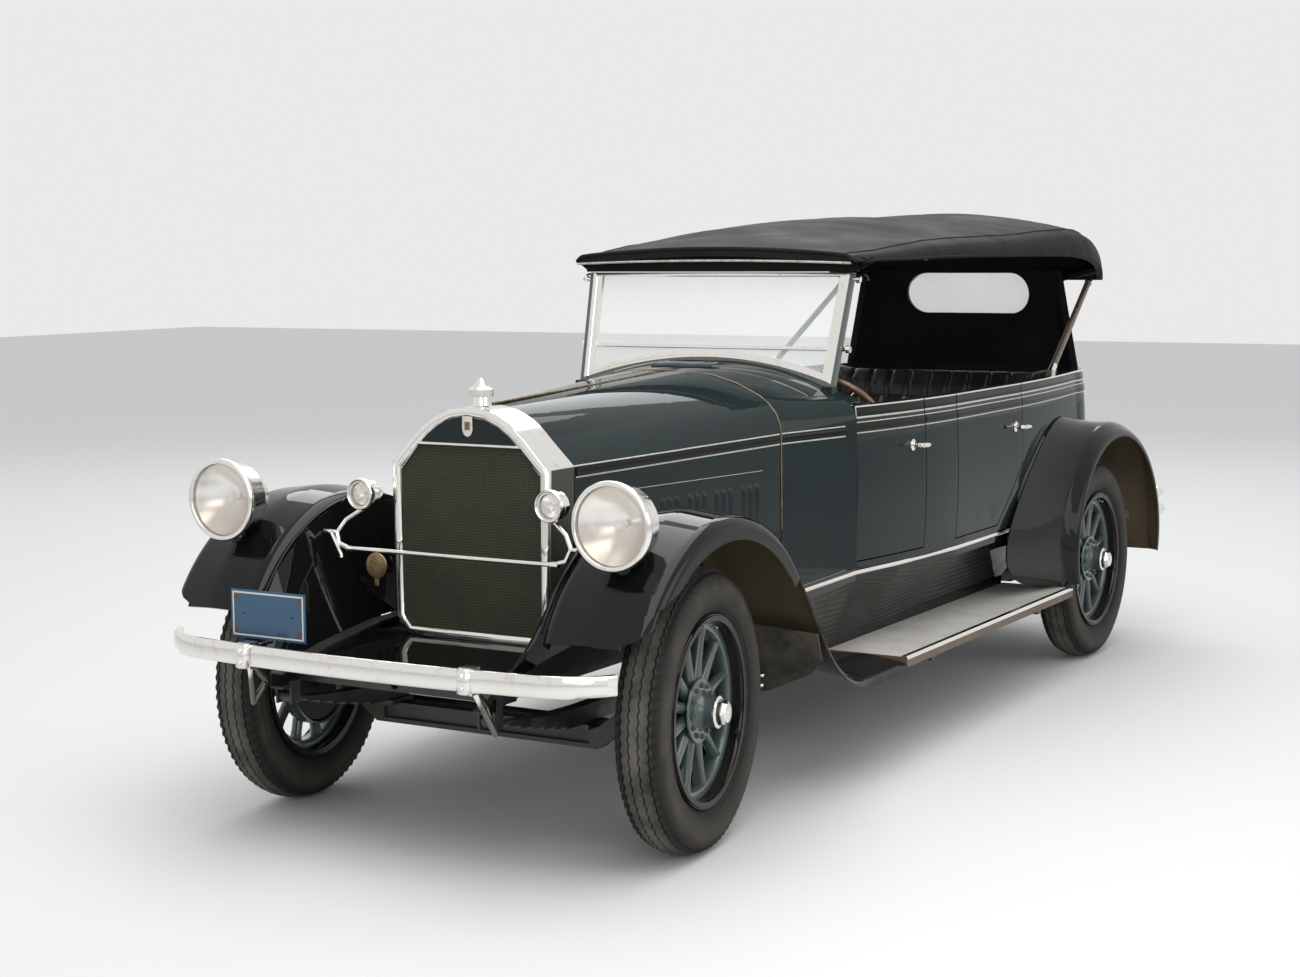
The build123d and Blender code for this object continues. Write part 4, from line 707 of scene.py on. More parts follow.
side_skin = skin_of("body_tub", "door_front_left", "door_rear_left", "cowl", "hood_left")
belt_lines = (
    # height above the ground, height of the strip, how far it stands out, finish: 0 line, 1 black, 2 bright
    (1.2100, 0.0075, 0.0035, 2), (1.1905, 0.0300, 0.0020, 1), (1.1720, 0.0065, 0.0012, 0),
    (1.1555, 0.0040, 0.0010, 0), (1.1375, 0.0300, 0.0042, 1), (1.1195, 0.0045, 0.0010, 0))


def from_left(y, z):
    """Where a level line from the left meets the side of the car."""
    return touch(side_skin, spot(1.3, y, z), spot(0, y, z))


def side_course(y0, y1, height):
    """Points of the left side between two y, height being a number or a function of y."""
    count = max(2, round((y1 - y0) / 0.045))
    ys = [y0 + (y1 - y0) * i / count for i in range(count + 1)]
    found = [from_left(y, height(y) if callable(height) else height) for y in ys]
    return [one for one in found if one]


def rear_course(z):
    """Points from the left side of the tub around to the middle of its back."""
    course = side_course(2.7365, 3.50, z)
    for i in range(1, 25):
        a = radians(8 + 82 * i / 24)
        one = touch(side_skin, spot(1.6 * cos(a), 3.40 + 1.6 * sin(a), z), spot(0, 3.40, z))
        if one:
            course.append(one)
    return course


def hood_line(rise):
    """Height of a line along the hood and cowl as a function of y: it climbs a little to the rear."""
    def height(y):
        if y < 1.08:
            return 1.075 + 0.022 * (y - 0.06) / 1.02 + rise
        return 1.097 + 0.018 * (y - 1.08) / 0.27 + rise
    return height


hood_strips = ((0.034, 0.0045, 0.0010, 0), (0.017, 0.0270, 0.0042, 1), (0.0, 0.0050, 0.0010, 0))
belt = Bench()
for z, tall, thick, look in belt_lines:
    ribbon(belt, side_course(1.7965, 2.0555, z), tall, thick, look)
    ribbon(belt, rear_course(z), tall, thick, look)
for rise, tall, thick, look in hood_strips:
    ribbon(belt, side_course(1.0925, 1.3425, hood_line(rise)), tall, thick, look)
belt.both_sides()
belt_black = Finish("belt_black", Specular_IOR_Level=0.0, Coat_Weight=0.7, Coat_IOR=1.4, Coat_Roughness=0.04)
at, x, y, z = belt_black.place()
belt_black.set(Base_Color=belt_black.mix(belt_black.noise(20, 5, at), (0.0035, 0.0035, 0.0035),
                                         (0.0075, 0.007, 0.006)))
belt_looks = [line_paint, belt_black, nickel]
show("belt_of_tub_and_cowl", belt, "car", belt_looks, smooth=50)
for door, y0, y1 in (("door_front", 1.3465, 1.7885), ("door_rear", 2.0635, 2.7285)):
    for side in ("left", "right"):
        strip = Bench()
        for z, tall, thick, look in belt_lines:
            ribbon(strip, side_course(y0, y1, z), tall, thick, look)
        if door == "door_front":
            rise = [from_left(y0 + 0.0035, z) for z in (1.170, 1.185, 1.200, 1.2075)]
            ribbon(strip, [one for one in rise if one], 0.0060, 0.0030, 0)
        if side == "right":
            strip.flip()
        name = f"belt_{door}_{side}"
        show(name, strip, f"{door}_{side}", belt_looks, smooth=50)

# Door handles: nickel levers on a round plate, turned by hand; each turns its lock inside the door.
for door, y, z in (("door_front", 1.690, 1.053), ("door_rear", 2.646, 1.045)):
    surface = from_left(y, z - 0.05)[0].x
    for side in ("left", "right"):
        lever = Bench()
        lever.lathe([(surface - 0.003, 0.0), (surface - 0.003, 0.021), (surface + 0.004, 0.0215),
                     (surface + 0.007, 0.018), (surface + 0.009, 0.0)], 28, closed=False,
                    centre=spot(0, y, z))
        lever.tube([spot(surface, y, z), spot(surface + 0.030, y, z), spot(surface + 0.045, y, z)],
                   [0.0088, 0.0088, 0.0095], 14)
        lever.tube([spot(surface + 0.036, y + a, z + b) for a,
                    b in ((-0.037, 0.0035), (-0.032, 0.0032), (-0.010, 0.001), (0.015, -0.001),
                          (0.045, -0.003), (0.066, -0.0045), (0.073, -0.005))],
                   [0.004, 0.0082, 0.0088, 0.0092, 0.0102, 0.0098, 0.006], 14)
        if side == "right":
            lever.flip()
        name = f"handle_{door}_{side}"
        show(name, lever, f"{door}_{side}", nickel, smooth=50)

# Hood: two steel lids on a brass hinge along the middle, each with a line, six groups of three louvres
# pressed out of the sheet, and two catches. A brass bead closes the joint with the cowl.
groups = (0.190, 0.328, 0.467, 0.605, 0.740, 0.881)
for side in ("left", "right"):
    lid = Bench()
    for rise, tall, thick, look in hood_strips:
        ribbon(lid, side_course(0.068, 1.0815, hood_line(rise)), tall, thick, look)
    ribbon(lid, side_course(0.150, 0.985, 1.016), 0.0020, 0.0008, 0)
    for group in groups:
        for i in range(3):
            y = group + 0.036 * i
            rows = []
            for z, swell in ((0.838, 0.0), (0.842, 0.5), (0.852, 0.9), (0.870, 1), (0.940, 1), (0.962, 0.95),
                             (0.974, 0.6), (0.979, 0.0)):
                hit, n = from_left(y, z)
                along = Vector((n.y, -n.x, 0)).normalized()
                along = along if along.y > 0 else -along
                rows.append([hit + along * a + n * (b * swell - 0.0006) for a,
                             b in ((-0.012, 0.0), (-0.006, 0.0028), (0.0, 0.0062), (0.0045, 0.0085),
                                   (0.0065, 0.0080), (0.0068, 0.0))])
            lid.grid(rows, look=3)
            for k in (0, -1):
                lid.cap(rows[k] if k else rows[k][::-1], 3)
    for y in (0.240, 0.860):
        hit, n = from_left(y, 0.815)
        lid.tube([hit + n * 0.002, hit + n * 0.012, hit + n * 0.016 + Vector((0, 0, -0.012)),
                  hit + n * 0.012 + Vector((0, 0, -0.030))], [0.006, 0.006, 0.005, 0.004], 10, look=2)
    if side == "right":
        lid.flip()
    name = "hood_details_" + side
    show(name, lid, "hood_" + side, belt_looks + [lacquer], smooth=40)

brass = Finish("worn_brass", Metallic=1.0, Roughness=0.3)
at, x, y, z = brass.place()
tarnish = brass.noise(34, 6, at)
brass.set(Base_Color=brass.mix(brass.span(tarnish, 0.35, 0.72), (0.42, 0.31, 0.17), (0.16, 0.11, 0.06)),
          Roughness=brass.span(tarnish, 0.3, 0.8, 0.22, 0.5))
bead_brass = Finish("bead_brass", Metallic=0.9, Roughness=0.45)
at, x, y, z = bead_brass.place()
bead_brass.set(Base_Color=bead_brass.mottle(30, 6, at, 0.35, 0.7, (0.235, 0.185, 0.125),
                                            (0.120, 0.092, 0.062)))
hinge = Bench()
hinge.tube([spot(0, y, z) for y, z in ((0.050, 1.2905), (0.400, 1.3045), (0.700, 1.3160), (1.060, 1.3330),
                                       (1.088, 1.3350))], 0.0046, 10)
joint_y = 1.0872
bead = [(0, 1.3360), (0.060, 1.3352), (0.120, 1.3325), (0.200, 1.3240), (0.290, 1.2995), (0.380, 1.2585),
        (0.415, 1.2310), (0.4425, 1.1990), (0.4560, 1.1650), (0.4618, 1.1310), (0.4620, 0.9500),
        (0.4620, 0.8050)]
for side in (1, -1):
    hinge.tube([spot(side * x, joint_y, z) for x, z in bead], 0.0034, 8)
show("hood_hinge_and_bead", hinge, "car", bead_brass, smooth=60)

# Ventilator: a hinged flap in the top of the cowl, nearly shut.
cowl_skin = skin_of("cowl")
vent = Bench()
vent_half = 0.115
rows = []
for y, lift in ((1.205, 0.0015), (1.212, 0.0045), (1.290, 0.012), (1.297, 0.0105)):
    across = [vent_half * k / 6 for k in range(-6, 7)]
    rows.append([touch(cowl_skin, spot(x, y, 1.6), spot(x, y, 1.0))[0] + Vector((0, 0, lift))
                 for x in across])
under = [[p - Vector((0, 0, 0.0022)) for p in line] for line in rows]
vent.grid(rows).grid(under, flip=True)
vent.grid([rows[0], under[0]], flip=True).grid([rows[-1], under[-1]])
vent.grid([[line[0] for line in rows], [line[0] for line in under]])
vent.grid([[line[-1] for line in rows], [line[-1] for line in under]], flip=True)
show("cowl_ventilator", vent, "car", lacquer, smooth=35)

# Radiator: a nickel shell with a rounded rim, a lacquered upper panel with a blank enamelled shield, and a
# copper core of small square cells painted dark olive, with painted shade in the hollow of each cell.
dress(nickel, "radiator_cap")
shell_plate = Finish("radiator_plate", Roughness=0.12, Metallic=1.0)
at, x, y, z = shell_plate.place()
flank = (abs(x) > 0.272) * (z < 1.108)
bright = plated(shell_plate, 20, 7, at)[1]
shell_plate.set(Base_Color=shell_plate.mix(flank * (y > -1.872), bright, (0.030, 0.026, 0.020)),
                Metallic=1 - flank * (y > -1.872), Roughness=shell_plate.span(flank, 0, 1, 0.10, 0.35))
dress(shell_plate, "radiator_shell")
core_paint = Finish("radiator_core_paint", Roughness=0.65, Specular_IOR_Level=0.2)
at, x, y, z = core_paint.place()
cell_x, cell_z = abs((x * 118) % 1 - 0.5), abs((z * 118) % 1 - 0.5)
wall = cell_x.either(cell_z)
# The hollow of each cell is painted near black: painted shade, since the cells are only pressed in by the
# bump.
shaded_cell = core_paint.span(wall, 0.40, 0.30)
old = core_paint.noise(9, 6, at)
core_paint.set(Base_Color=core_paint.mix(shaded_cell * 0.75,
                                         core_paint.mix(core_paint.span(old, 0.35, 0.7),
                                                        (0.052, 0.054, 0.038), (0.070, 0.066, 0.042)),
                                         (0.014, 0.015, 0.010)))
core_paint.bump(1 - shaded_cell, 0.8, 0.002)
dress(core_paint, "radiator_core")
face = Bench()
front, bar_z = -0.0805, 1.1735
half_rim = [(0, 0.5885), (0.120, 0.5885), (0.2270, 0.5890), (0.2560, 0.6180), (0.2668, 0.6400),
            (0.2690, 0.8700), (0.2713, 1.0960), (0.2640, 1.1080), (0.1960, 1.1800), (0.1600, 1.2130),
            (0.1180, 1.2420), (0.0620, 1.2660), (0, 1.2745)]
rim_path = half_rim + [(-x, z) for x, z in reversed(half_rim[1:-1])]
course = [spot(x, front, z) for x, z in rim_path]
rows = []
for i, p in enumerate(course):
    run = (course[(i + 1) % len(course)] - course[i - 1]).normalized()
    across = run.cross(Vector((0, -1, 0)))
    rows.append([p + across * (0.0150 * a) + Vector((0, -b, 0)) for a,
                 b in ((-1, -0.0015), (-1, 0.003), (-0.7, 0.0068), (-0.3, 0.0088), (0.3, 0.0088),
                       (0.7, 0.0068), (1, 0.003), (1, -0.0015))])
face.grid(rows, around=True, along=True)
face.tube([spot(x, front - 0.002, bar_z) for x in (-0.192, 0.192)], 0.0055, 10)
arch = half_rim[8:]
crown_panel = [(0.186, bar_z)] + arch + [(-x, z) for x, z in reversed(arch[:-1])] + [(-0.186, bar_z)]
face.grid([[spot(x, front - 0.0006, z) for x, z in crown_panel],
           [spot(x * 0.02, front - 0.0008, 1.20 + (z - 1.20) * 0.02) for x, z in crown_panel]], around=True,
          look=1)
shield = [(-0.0185, 1.2600), (0.0185, 1.2600), (0.0195, 1.2200), (0.0125, 1.2040), (0, 1.1985),
          (-0.0125, 1.2040), (-0.0195, 1.2200)]
face.grid([[spot(x, front - 0.0005, z) for x, z in shield], [spot(x, front - 0.0060, z) for x, z in shield]],
          around=True)
face.cap([spot(x * 0.98, front - 0.0060, z) for x, z in shield], 2)
face.block(spot(-0.0095, front - 0.0075, 1.2200), spot(0.0095, front - 0.0058, 1.2440), look=3, bevel=0.0006)
ivory = Finish("ivory_enamel", Roughness=0.25, Coat_Weight=0.6)
at, x, y, z = ivory.place()
ivory.set(Base_Color=ivory.mottle(60, 5, at, 0.4, 0.8, (0.66, 0.63, 0.56), (0.45, 0.40, 0.32)))
show("radiator_face", face, "car", [nickel, lacquer, ivory, brass], smooth=45)

# Brass disc: a blank tag on a small hook from the lamp bar, beside the radiator.
disc = Bench()
disc_x = -0.260
disc.lathe([(0.0025, 0.0), (0.0025, 0.0385), (0.0, 0.0400), (-0.0025, 0.0385), (-0.0032, 0.034),
            (-0.0026, 0.0)], 40, axis="Y", closed=False, centre=spot(disc_x, -0.206, 0.806))
disc.block(spot(-0.268, -0.2075, 0.744), spot(-0.252, -0.2045, 0.772), bevel=0.0008)
disc.tube([spot(disc_x, y, z) for y, z in ((-0.2035, 0.842), (-0.1985, 0.846), (-0.1965, 0.852))], 0.0045, 8)
show("brass_disc", disc, "car", brass, smooth=35)

# Headlamps and small lamps: spun nickel shells with a rolled rim, a silvered reflector, a bulb and a
# clear lens.
dress(nickel, "headlamps", "small_lamps")
silver = Finish("reflector_silver", Metallic=1.0, Roughness=0.24)
at, x, y, z = silver.place()
foxed = silver.span(silver.noise(12, 5, at) + silver.span(z, 0.96, 1.03, 0.3, -0.15), 0.40, 0.75)
silver.set(Base_Color=silver.mix(foxed, (0.92, 0.90, 0.87), (0.62, 0.52, 0.42)))
glass = Finish("lamp_glass", Base_Color=(0.95, 0.97, 0.96), Roughness=0.02, IOR=1.45, Alpha=0.16,
               Coat_Weight=1.0, Coat_Roughness=0.01)
at, x, y, z = glass.place()
glass.set(Roughness=glass.span(glass.noise(50, 4, at), 0.4, 0.9, 0.01, 0.12))
dress(glass, "lamp_glasses")
lamps = Bench()
head_radius, small_radius = 0.124, 0.048
for (x, y, z), r in (((0.697, -0.400, 1.005), head_radius), ((0.345, -0.165, 1.016), small_radius)):
    size = r / head_radius
    centre = spot(x, y, z)
    s = max(size, 0.55)
    ring = [(0.0105, r), (0.004, r + 0.0022 * s), (-0.006, r + 0.0024 * s), (-0.0115, r - 0.0005),
            (-0.0135, r - 0.005 * s), (-0.0125, r - 0.0100 * s), (-0.0095, r - 0.0128 * s),
            (-0.0075, r - 0.0128 * s)]
    lamps.lathe(ring, 64 if size == 1 else 40, axis="Y", centre=centre)
    bowl = [(0.078 * size * (1 - k * k) + 0.003, (r - 0.0145) * k)
            for k in (0.06, 0.2, 0.35, 0.5, 0.65, 0.8, 0.92, 1.0)]
    lamps.lathe(bowl, 48 if size == 1 else 32, look=1, axis="Y", centre=centre, closed=False)
    lamps.tube([centre + Vector((0, 0.074 * size, 0)), centre + Vector((0, 0.056 * size, 0))], 0.009 * size,
               14, look=0)
    lamps.ball(centre + Vector((0, 0.044 * size, 0)), 0.014 * size, 16, look=2, stretch=(1, 1.15, 1))
lamps.both_sides()
bulb = Finish("bulb_glass", Base_Color=(0.92, 0.90, 0.84), Roughness=0.05, Alpha=0.55)
at, x, y, z = bulb.place()
bulb.set(Roughness=bulb.span(bulb.noise(80, 3, at), 0.4, 0.8, 0.03, 0.15))
show("lamp_rims_and_reflectors", lamps, "car", [nickel, silver, bulb], smooth=50)
rods = Bench()
rods.tube([spot(-0.437, -0.206, 0.902), spot(-0.437, -0.200, 0.896), spot(-0.399, -0.200, 0.828),
           spot(-0.397, -0.204, 0.820)], 0.0062, 12)
rods.tube([spot(0.366, -0.195, 0.850), spot(0.392, -0.195, 0.850)], 0.0095, 14)
rods.tube([spot(-0.366, -0.195, 0.850), spot(-0.380, -0.195, 0.850)], 0.0085, 14)
show("lamp_bar_clamps", rods, "car", nickel, smooth=50)

# Windshield: a nickel frame around two panes, raked back, on posts in body lacquer with knobs to loosen them.
shield_finish = Finish("windshield_finish", Roughness=0.12, Metallic=1.0)
at, x, y, z = shield_finish.place()
edge_x = (z - 1.296) * 0.0566 + 0.5065
arch_z = 1.2885 + (1 - (x / 0.494) ** 2) * 0.0795
painted = (abs(x) > edge_x).either(z < arch_z)
bright = plated(shield_finish, 26, 8, at)[1]
shield_finish.set(Base_Color=shield_finish.mix(painted, bright, (0.052, 0.066, 0.064)), Metallic=1 - painted,
                  Roughness=shield_finish.span(painted, 0, 1, 0.09, 0.28), Coat_Weight=painted)
dress(shield_finish, "windshield_frame")
pane = Finish("windshield_pane", Base_Color=(0.90, 0.95, 0.93), Roughness=0.02, IOR=1.45, Alpha=0.22,
              Coat_Weight=1.0, Coat_Roughness=0.01)
at, x, y, z = pane.place()
pane.set(Roughness=pane.span(pane.noise(6, 6, at), 0.45, 0.9, 0.01, 0.10),
         Alpha=pane.span(pane.noise(2.5, 5, at), 0.3, 0.8, 0.17, 0.30))
dress(pane, "windshield_glass", "rear_window")
knobs = Bench()
for side in (1, -1):
    for y, z, half in ((1.4965, 1.645, 0.539), (1.4480, 1.4015, 0.522)):
        base = spot(side * half, y, z)
        out = Vector((side, 0, 0))
        knobs.tube([base - out * 0.004, base + out * 0.014], 0.0075, 12)
        knobs.tube([base + out * 0.012, base + out * 0.026], [0.0135, 0.0125], 16)
    wing = ((0.547, 1.515, 1.658), (0.566, 1.520, 1.664), (0.580, 1.520, 1.655), (0.588, 1.520, 1.640))
    knobs.tube([spot(side * x, y, z) for x, y, z in wing], 0.004, 8, look=1)
show("windshield_knobs", knobs, "car", [nickel, enamel], smooth=45)

# Steering wheel and column: a varnished wooden rim on four nickel spokes, on an enamelled column.
rim_wood = Finish("varnished_wood", Roughness=0.3, Coat_Weight=0.9, Coat_Roughness=0.06)
at, x, y, z = rim_wood.place()
grain = rim_wood.node("TexNoise", out="Fac", Vector=at, Scale=24.0, Detail=6.0, Distortion=1.6)
rim_wood.set(Base_Color=rim_wood.mix(rim_wood.span(grain, 0.3, 0.7), (0.150, 0.082, 0.042),
                                     (0.080, 0.040, 0.021)),
             Roughness=rim_wood.span(grain, 0.3, 0.8, 0.22, 0.45))
rim_wood.bump(grain, 0.08, 0.0006)
dress(rim_wood, "steering_wheel", "dashboard")
hub = Bench()
tilt = Matrix.Translation(spot(0.360, 1.690, 1.130)) @ Matrix(((1, 0, 0), (0, -0.58725, 0.80941),
                                                               (0, 0.80941, 0.58725))).to_4x4()
hub.lathe([(-0.006, 0.0), (-0.006, 0.031), (-0.038, 0.0315), (-0.040, 0.020)], 32, axis="Z", closed=False)
hub.lathe([(0.006, 0.0), (0.005, 0.012), (-0.001, 0.020), (-0.006, 0.022)], 28, axis="Z", closed=False)
for i in range(4):
    a = radians(45 + 90 * i)
    spoke = ((0.020, -0.020), (0.110, -0.0115), (0.192, -0.003))
    hub.tube([(r * cos(a), r * sin(a), z) for r, z in spoke], [0.0098, 0.0088, 0.0088], 12)
hub.moved(tilt)
show("steering_wheel_metal", hub, "steering_wheel", nickel, smooth=50)

# Floor: bare boards from the toe board back to the rear seat, with their joints a little open.
floor_wood = Finish("floor_boards", Roughness=0.75)
at, x, y, z = floor_wood.place()
plank = abs((x * 7.5) % 1 - 0.5)
floor_wood.set(Base_Color=floor_wood.mottle(8, 6, at, 0.35, 0.7, (0.085, 0.060, 0.038),
                                            (0.045, 0.035, 0.026)))
floor_wood.bump(floor_wood.span(plank, 0.44, 0.49, 1, 0), 0.5, 0.003)
dress(floor_wood, "floor")

# Dashboard: the wooden board carries three blank gauges in nickel bezels, screwed on from behind.
board_skin = skin_of("dashboard")
gauges = Bench()
for x in (-0.14, 0.0, 0.14):
    found = touch(board_skin, spot(x, 1.6, 1.222), spot(x, 1.2, 1.222))
    if found:
        gauges.lathe([(-0.003, 0.0), (0.004, 0.036), (0.009, 0.0385), (0.0105, 0.041), (0.006, 0.0445),
                      (-0.003, 0.0455)], 36, axis="Y", closed=False, centre=found[0])
        gauges.lathe([(0.0045, 0.037), (0.0048, 0.0)], 36, look=1, axis="Y", closed=False, centre=found[0])
show("dashboard_gauges", gauges, "car", [nickel, enamel], smooth=50)

# Seats: springs and horsehair under black leather, sewn in upright channels; the cushions lie loose on
# leather covered boxes, and the backs are tacked to the tub.
leather = Finish("black_leather", Roughness=0.42, Coat_Weight=0.15)
at, x, y, z = leather.place()
hide = leather.noise(240, 5, at)
wear = leather.noise(5, 6, at)
leather.set(Base_Color=leather.mix(leather.span(wear, 0.45, 0.75), (0.010, 0.0095, 0.009),
                                   (0.032, 0.029, 0.025)),
            Roughness=leather.span(hide + wear, 0.6, 1.4, 0.34, 0.62))
leather.bump(hide, 0.35, 0.0006)


def taken(piece):
    """The mesh of a piece with its modifiers worked in."""
    return bpy.data.meshes.new_from_object(piece.evaluated_get(bpy.context.evaluated_depsgraph_get()))


def swollen(name, corners, box, voxel=0.012, limit=0.024):
    """A pad from eight corners: rounded, remeshed, blown up as cloth, held inside a box, and subdivided."""
    mesh = bpy.data.meshes.new(name)
    work = bmesh.new()
    points = [work.verts.new(spot(*p)) for p in corners]
    for face in ((3, 2, 1, 0), (4, 5, 6, 7), (0, 1, 5, 4), (1, 2, 6, 5), (2, 3, 7, 6), (3, 0, 4, 7)):
        work.faces.new([points[i] for i in face])
    bmesh.ops.recalc_face_normals(work, faces=work.faces)
    bmesh.ops.bevel(work, geom=list(work.edges) + list(work.verts), offset=0.022, segments=3, profile=0.6,
                    affect="EDGES")
    work.to_mesh(mesh)
    work.free()
    piece = bpy.data.objects.new(name + "_form", mesh)
    scene.collection.objects.link(piece)
    remesh = piece.modifiers.new("remesh", "REMESH")
    remesh.mode, remesh.voxel_size = "VOXEL", voxel
    mesh = taken(piece)
    piece.modifiers.clear()
    piece.data = mesh
    start = [v.co.copy() for v in mesh.vertices]
    cloth = piece.modifiers.new("cloth", "CLOTH")
    cloth.settings.use_pressure = True
    cloth.settings.uniform_pressure_force = 4
    cloth.settings.effector_weights.gravity = 0
    cloth.point_cache.frame_start, cloth.point_cache.frame_end = 1, 20
    for step in range(1, 21):
        scene.frame_set(step)
    blown = taken(piece)
    piece.modifiers.clear()
    for v, old, new in zip(mesh.vertices, start, blown.vertices):
        move = new.co - old
        if move.length > limit:
            move *= limit / move.length
        v.co = old + move
    scene.frame_set(1)
    low, high = spot(*box[0]), spot(*box[1])
    for v in mesh.vertices:
        v.co = Vector(min(max(c, a), b) for c, a, b in zip(v.co, low, high))
    smooth = piece.modifiers.new("smooth", "SUBSURF")
    smooth.levels = smooth.render_levels = 1
    mesh = taken(piece)
    bpy.data.objects.remove(piece)
    return mesh


def sew(mesh, facing, pitch, depth=0.011):
    """Draws channels into the side of a pad that faces a direction, pitch apart across the car."""
    facing = Vector(facing).normalized()
    moved = []
    for v in mesh.vertices:
        turned = max(0.0, v.normal.dot(facing)) ** 0.7
        off = abs((v.co.x / pitch) % 1 - 0.5) * pitch
        moved.append(v.co - v.normal * (turned * (depth * exp(-(off / 0.0085) ** 2) - 0.25 * depth)))
    for v, co in zip(mesh.vertices, moved):
        v.co = co
    return mesh


def cushion_corners(half, y0, y1, z0, z1, rise, pull=0.012):
    x = half - pull
    return [(-x, y0, z0), (x, y0, z0), (x, y1, z0), (-x, y1, z0), (-x, y0, z1 + rise), (x, y0, z1 + rise),
            (x, y1, z1), (-x, y1, z1)]


def back_corners(half, foot_y, head_y, rear_y, z0, z1, pull=0.012):
    x = half - pull
    return [(-x, foot_y, z0), (x, foot_y, z0), (x, rear_y, z0), (-x, rear_y, z0),
            (-x, head_y, z1), (x, head_y, z1), (x, rear_y, z1), (-x, rear_y, z1)]


seat_plan = (
    # name, node, half width, front, cushion rear, box foot, box top, cushion top,
    # and of the back: foot y, head y, rear y, head z
    ("front", "front_seat", 0.606, 1.862, 2.150, 0.6515, 0.780, 0.928, 2.150, 2.206, 2.250, 1.232),
    ("rear", "rear_seat", 0.571, 3.022, 3.475, 0.7415, 0.850, 0.978, 3.475, 3.556, 3.630, 1.242))
for name, node, half, y0, y1, z0, z1, z2, foot_y, head_y, rear_y, head_z in seat_plan:
    base = Bench()
    base.block(spot(-half + 0.004, y0 + 0.006, z0), spot(half - 0.004, rear_y - 0.004, z1 - 0.004),
               bevel=0.006)
    show(f"{name}_seat_box", base, "car", leather, [node], smooth=40)
    cushion = swollen(f"{name}_cushion", cushion_corners(half, y0, y1 - 0.008, z1 + 0.008, z2 - 0.018, 0.006),
                      ((-half, y0 - 0.006, z1 - 0.0035), (half, y1, z2 + 0.010)))
    piece = show(f"{name}_cushion", sew(cushion, (0, -0.3, 1), 0.094), "car", leather, smooth=0)
    rest = swollen(f"{name}_back", back_corners(half, foot_y + 0.018, head_y + 0.012, rear_y - 0.008,
                                                z1 + 0.012, head_z - 0.016),
                   ((-half, y1 - 0.012, z1 - 0.0035), (half, rear_y, head_z + 0.006)))
    piece = show(f"{name}_back", sew(rest, (0, -1, 0.25), 0.094), "car", leather, smooth=0)

# Top: black coated cloth stretched over bent ash bows, sewn along the shoulders, bound along the lower edge
# and rolled at the front; the rear curtain comes down to the tub with a glass window in a bound opening.
top_cloth = Finish("top_cloth", Specular_IOR_Level=0.10)
at, x, y, z = top_cloth.place()
weave = abs((x * 900) % 1 - 0.5) + abs((y * 900 + z * 500) % 1 - 0.5)
soil = top_cloth.noise(4, 7, at)
top_cloth.set(Base_Color=top_cloth.mix(top_cloth.span(soil, 0.42, 0.75), (0.0085, 0.0088, 0.0088),
                                       (0.0165, 0.0165, 0.0155)),
              Roughness=top_cloth.span(soil, 0.3, 0.8, 0.50, 0.78))
top_cloth.bump(top_cloth.noise(14, 5, at) * 6 + weave * 0.3, 0.35, 0.0012)
dress(top_cloth, "top_canopy")
piping = Finish("pale_piping", Roughness=0.7)
at, x, y, z = piping.place()
piping.set(Base_Color=piping.mottle(60, 5, at, 0.35, 0.7, (0.50, 0.48, 0.42), (0.26, 0.24, 0.20)))
canopy_skin = skin_of("top_canopy")
top_rows = ((1.432, 1.750, 1.702, 0.560, 0.54), (1.620, 1.780, 1.706, 0.628, 0.46),
            (1.900, 1.823, 1.710, 0.659, 0.48), (2.600, 1.869, 1.712, 0.688, 0.48),
            (3.350, 1.887, 1.706, 0.699, 0.60), (3.640, 1.886, 1.680, 0.686, 0.60),
            (3.878, 1.816, 1.600, 0.630, 0.66))


def top_at(y):
    """Crown, edge, half width and shoulder of the top at y, between the rows it was lofted through."""
    for a, b in zip(top_rows, top_rows[1:]):
        if y <= b[0]:
            t = max(0.0, (y - a[0]) / (b[0] - a[0]))
            return [p + (q - p) * t for p, q in zip(a[1:], b[1:])]
    return top_rows[-1][1:]


def roof_row(y):
    """Points and normals over the top at y, from the right lower edge to the left one."""
    crown, edge, half, shoulder = top_at(y)
    low, turn_z = edge - 0.030, edge + (crown - edge) * shoulder * 0.86
    while touch(canopy_skin, spot(1.2, y, low), spot(0, y, low)) is None:
        low += 0.002
    low += 0.002
    side = []
    for i in range(7):
        z = low + (turn_z - low) * i / 6
        side.append(touch(canopy_skin, spot(1.2, y, z), spot(0, y, z)))
    reach = half * 0.885
    for i in range(23):
        x = reach * (1 - i / 22)
        side.append(touch(canopy_skin, spot(x, y, 2.4), spot(x, y, 0)))
    side = [one or side[k - 1] for k, one in enumerate(side)]
    mirror = [(Vector((-p.x, p.y, p.z)), Vector((-n.x, n.y, n.z))) for p, n in side[:-1]]
    return mirror + side[::-1]


bow_ys = (1.98, 2.62, 3.10, 3.56)
roof_ys = [1.436 + (3.874 - 1.436) * i / 104 for i in range(105)]
outer_rows, inner_rows = [], []
for y in roof_ys:
    ridge = max(exp(-((y - b) / 0.035) ** 2) for b in bow_ys)
    outer, inner = [], []
    line = roof_row(y)
    for k, (p, n) in enumerate(line):
        across = min(k, len(line) - 1 - k)
        slack = min(1.0, across / 9) * min(1.0, (y - 1.43) / 0.15)
        fold = noise.noise(Vector((p.x * 3.2, p.y * 7.0, 0.3))) * 0.0024 + noise.noise(p * 16) * 0.0007
        outer.append(p + n * (0.0032 + slack * (0.0028 * ridge + fold + 0.0016)))
        inner.append(p + n * 0.0004)
    outer_rows.append(outer)
    inner_rows.append(inner)
roof = Bench()
roof.grid(outer_rows).grid(inner_rows, flip=True)
for k in (0, -1):
    roof.grid([outer_rows[k], inner_rows[k]], flip=k == 0)
    roof.grid([[row[k] for row in outer_rows], [row[k] for row in inner_rows]], flip=k != 0)
roof_cloth = show("roof_cloth", roof, "car", top_cloth, smooth=60)

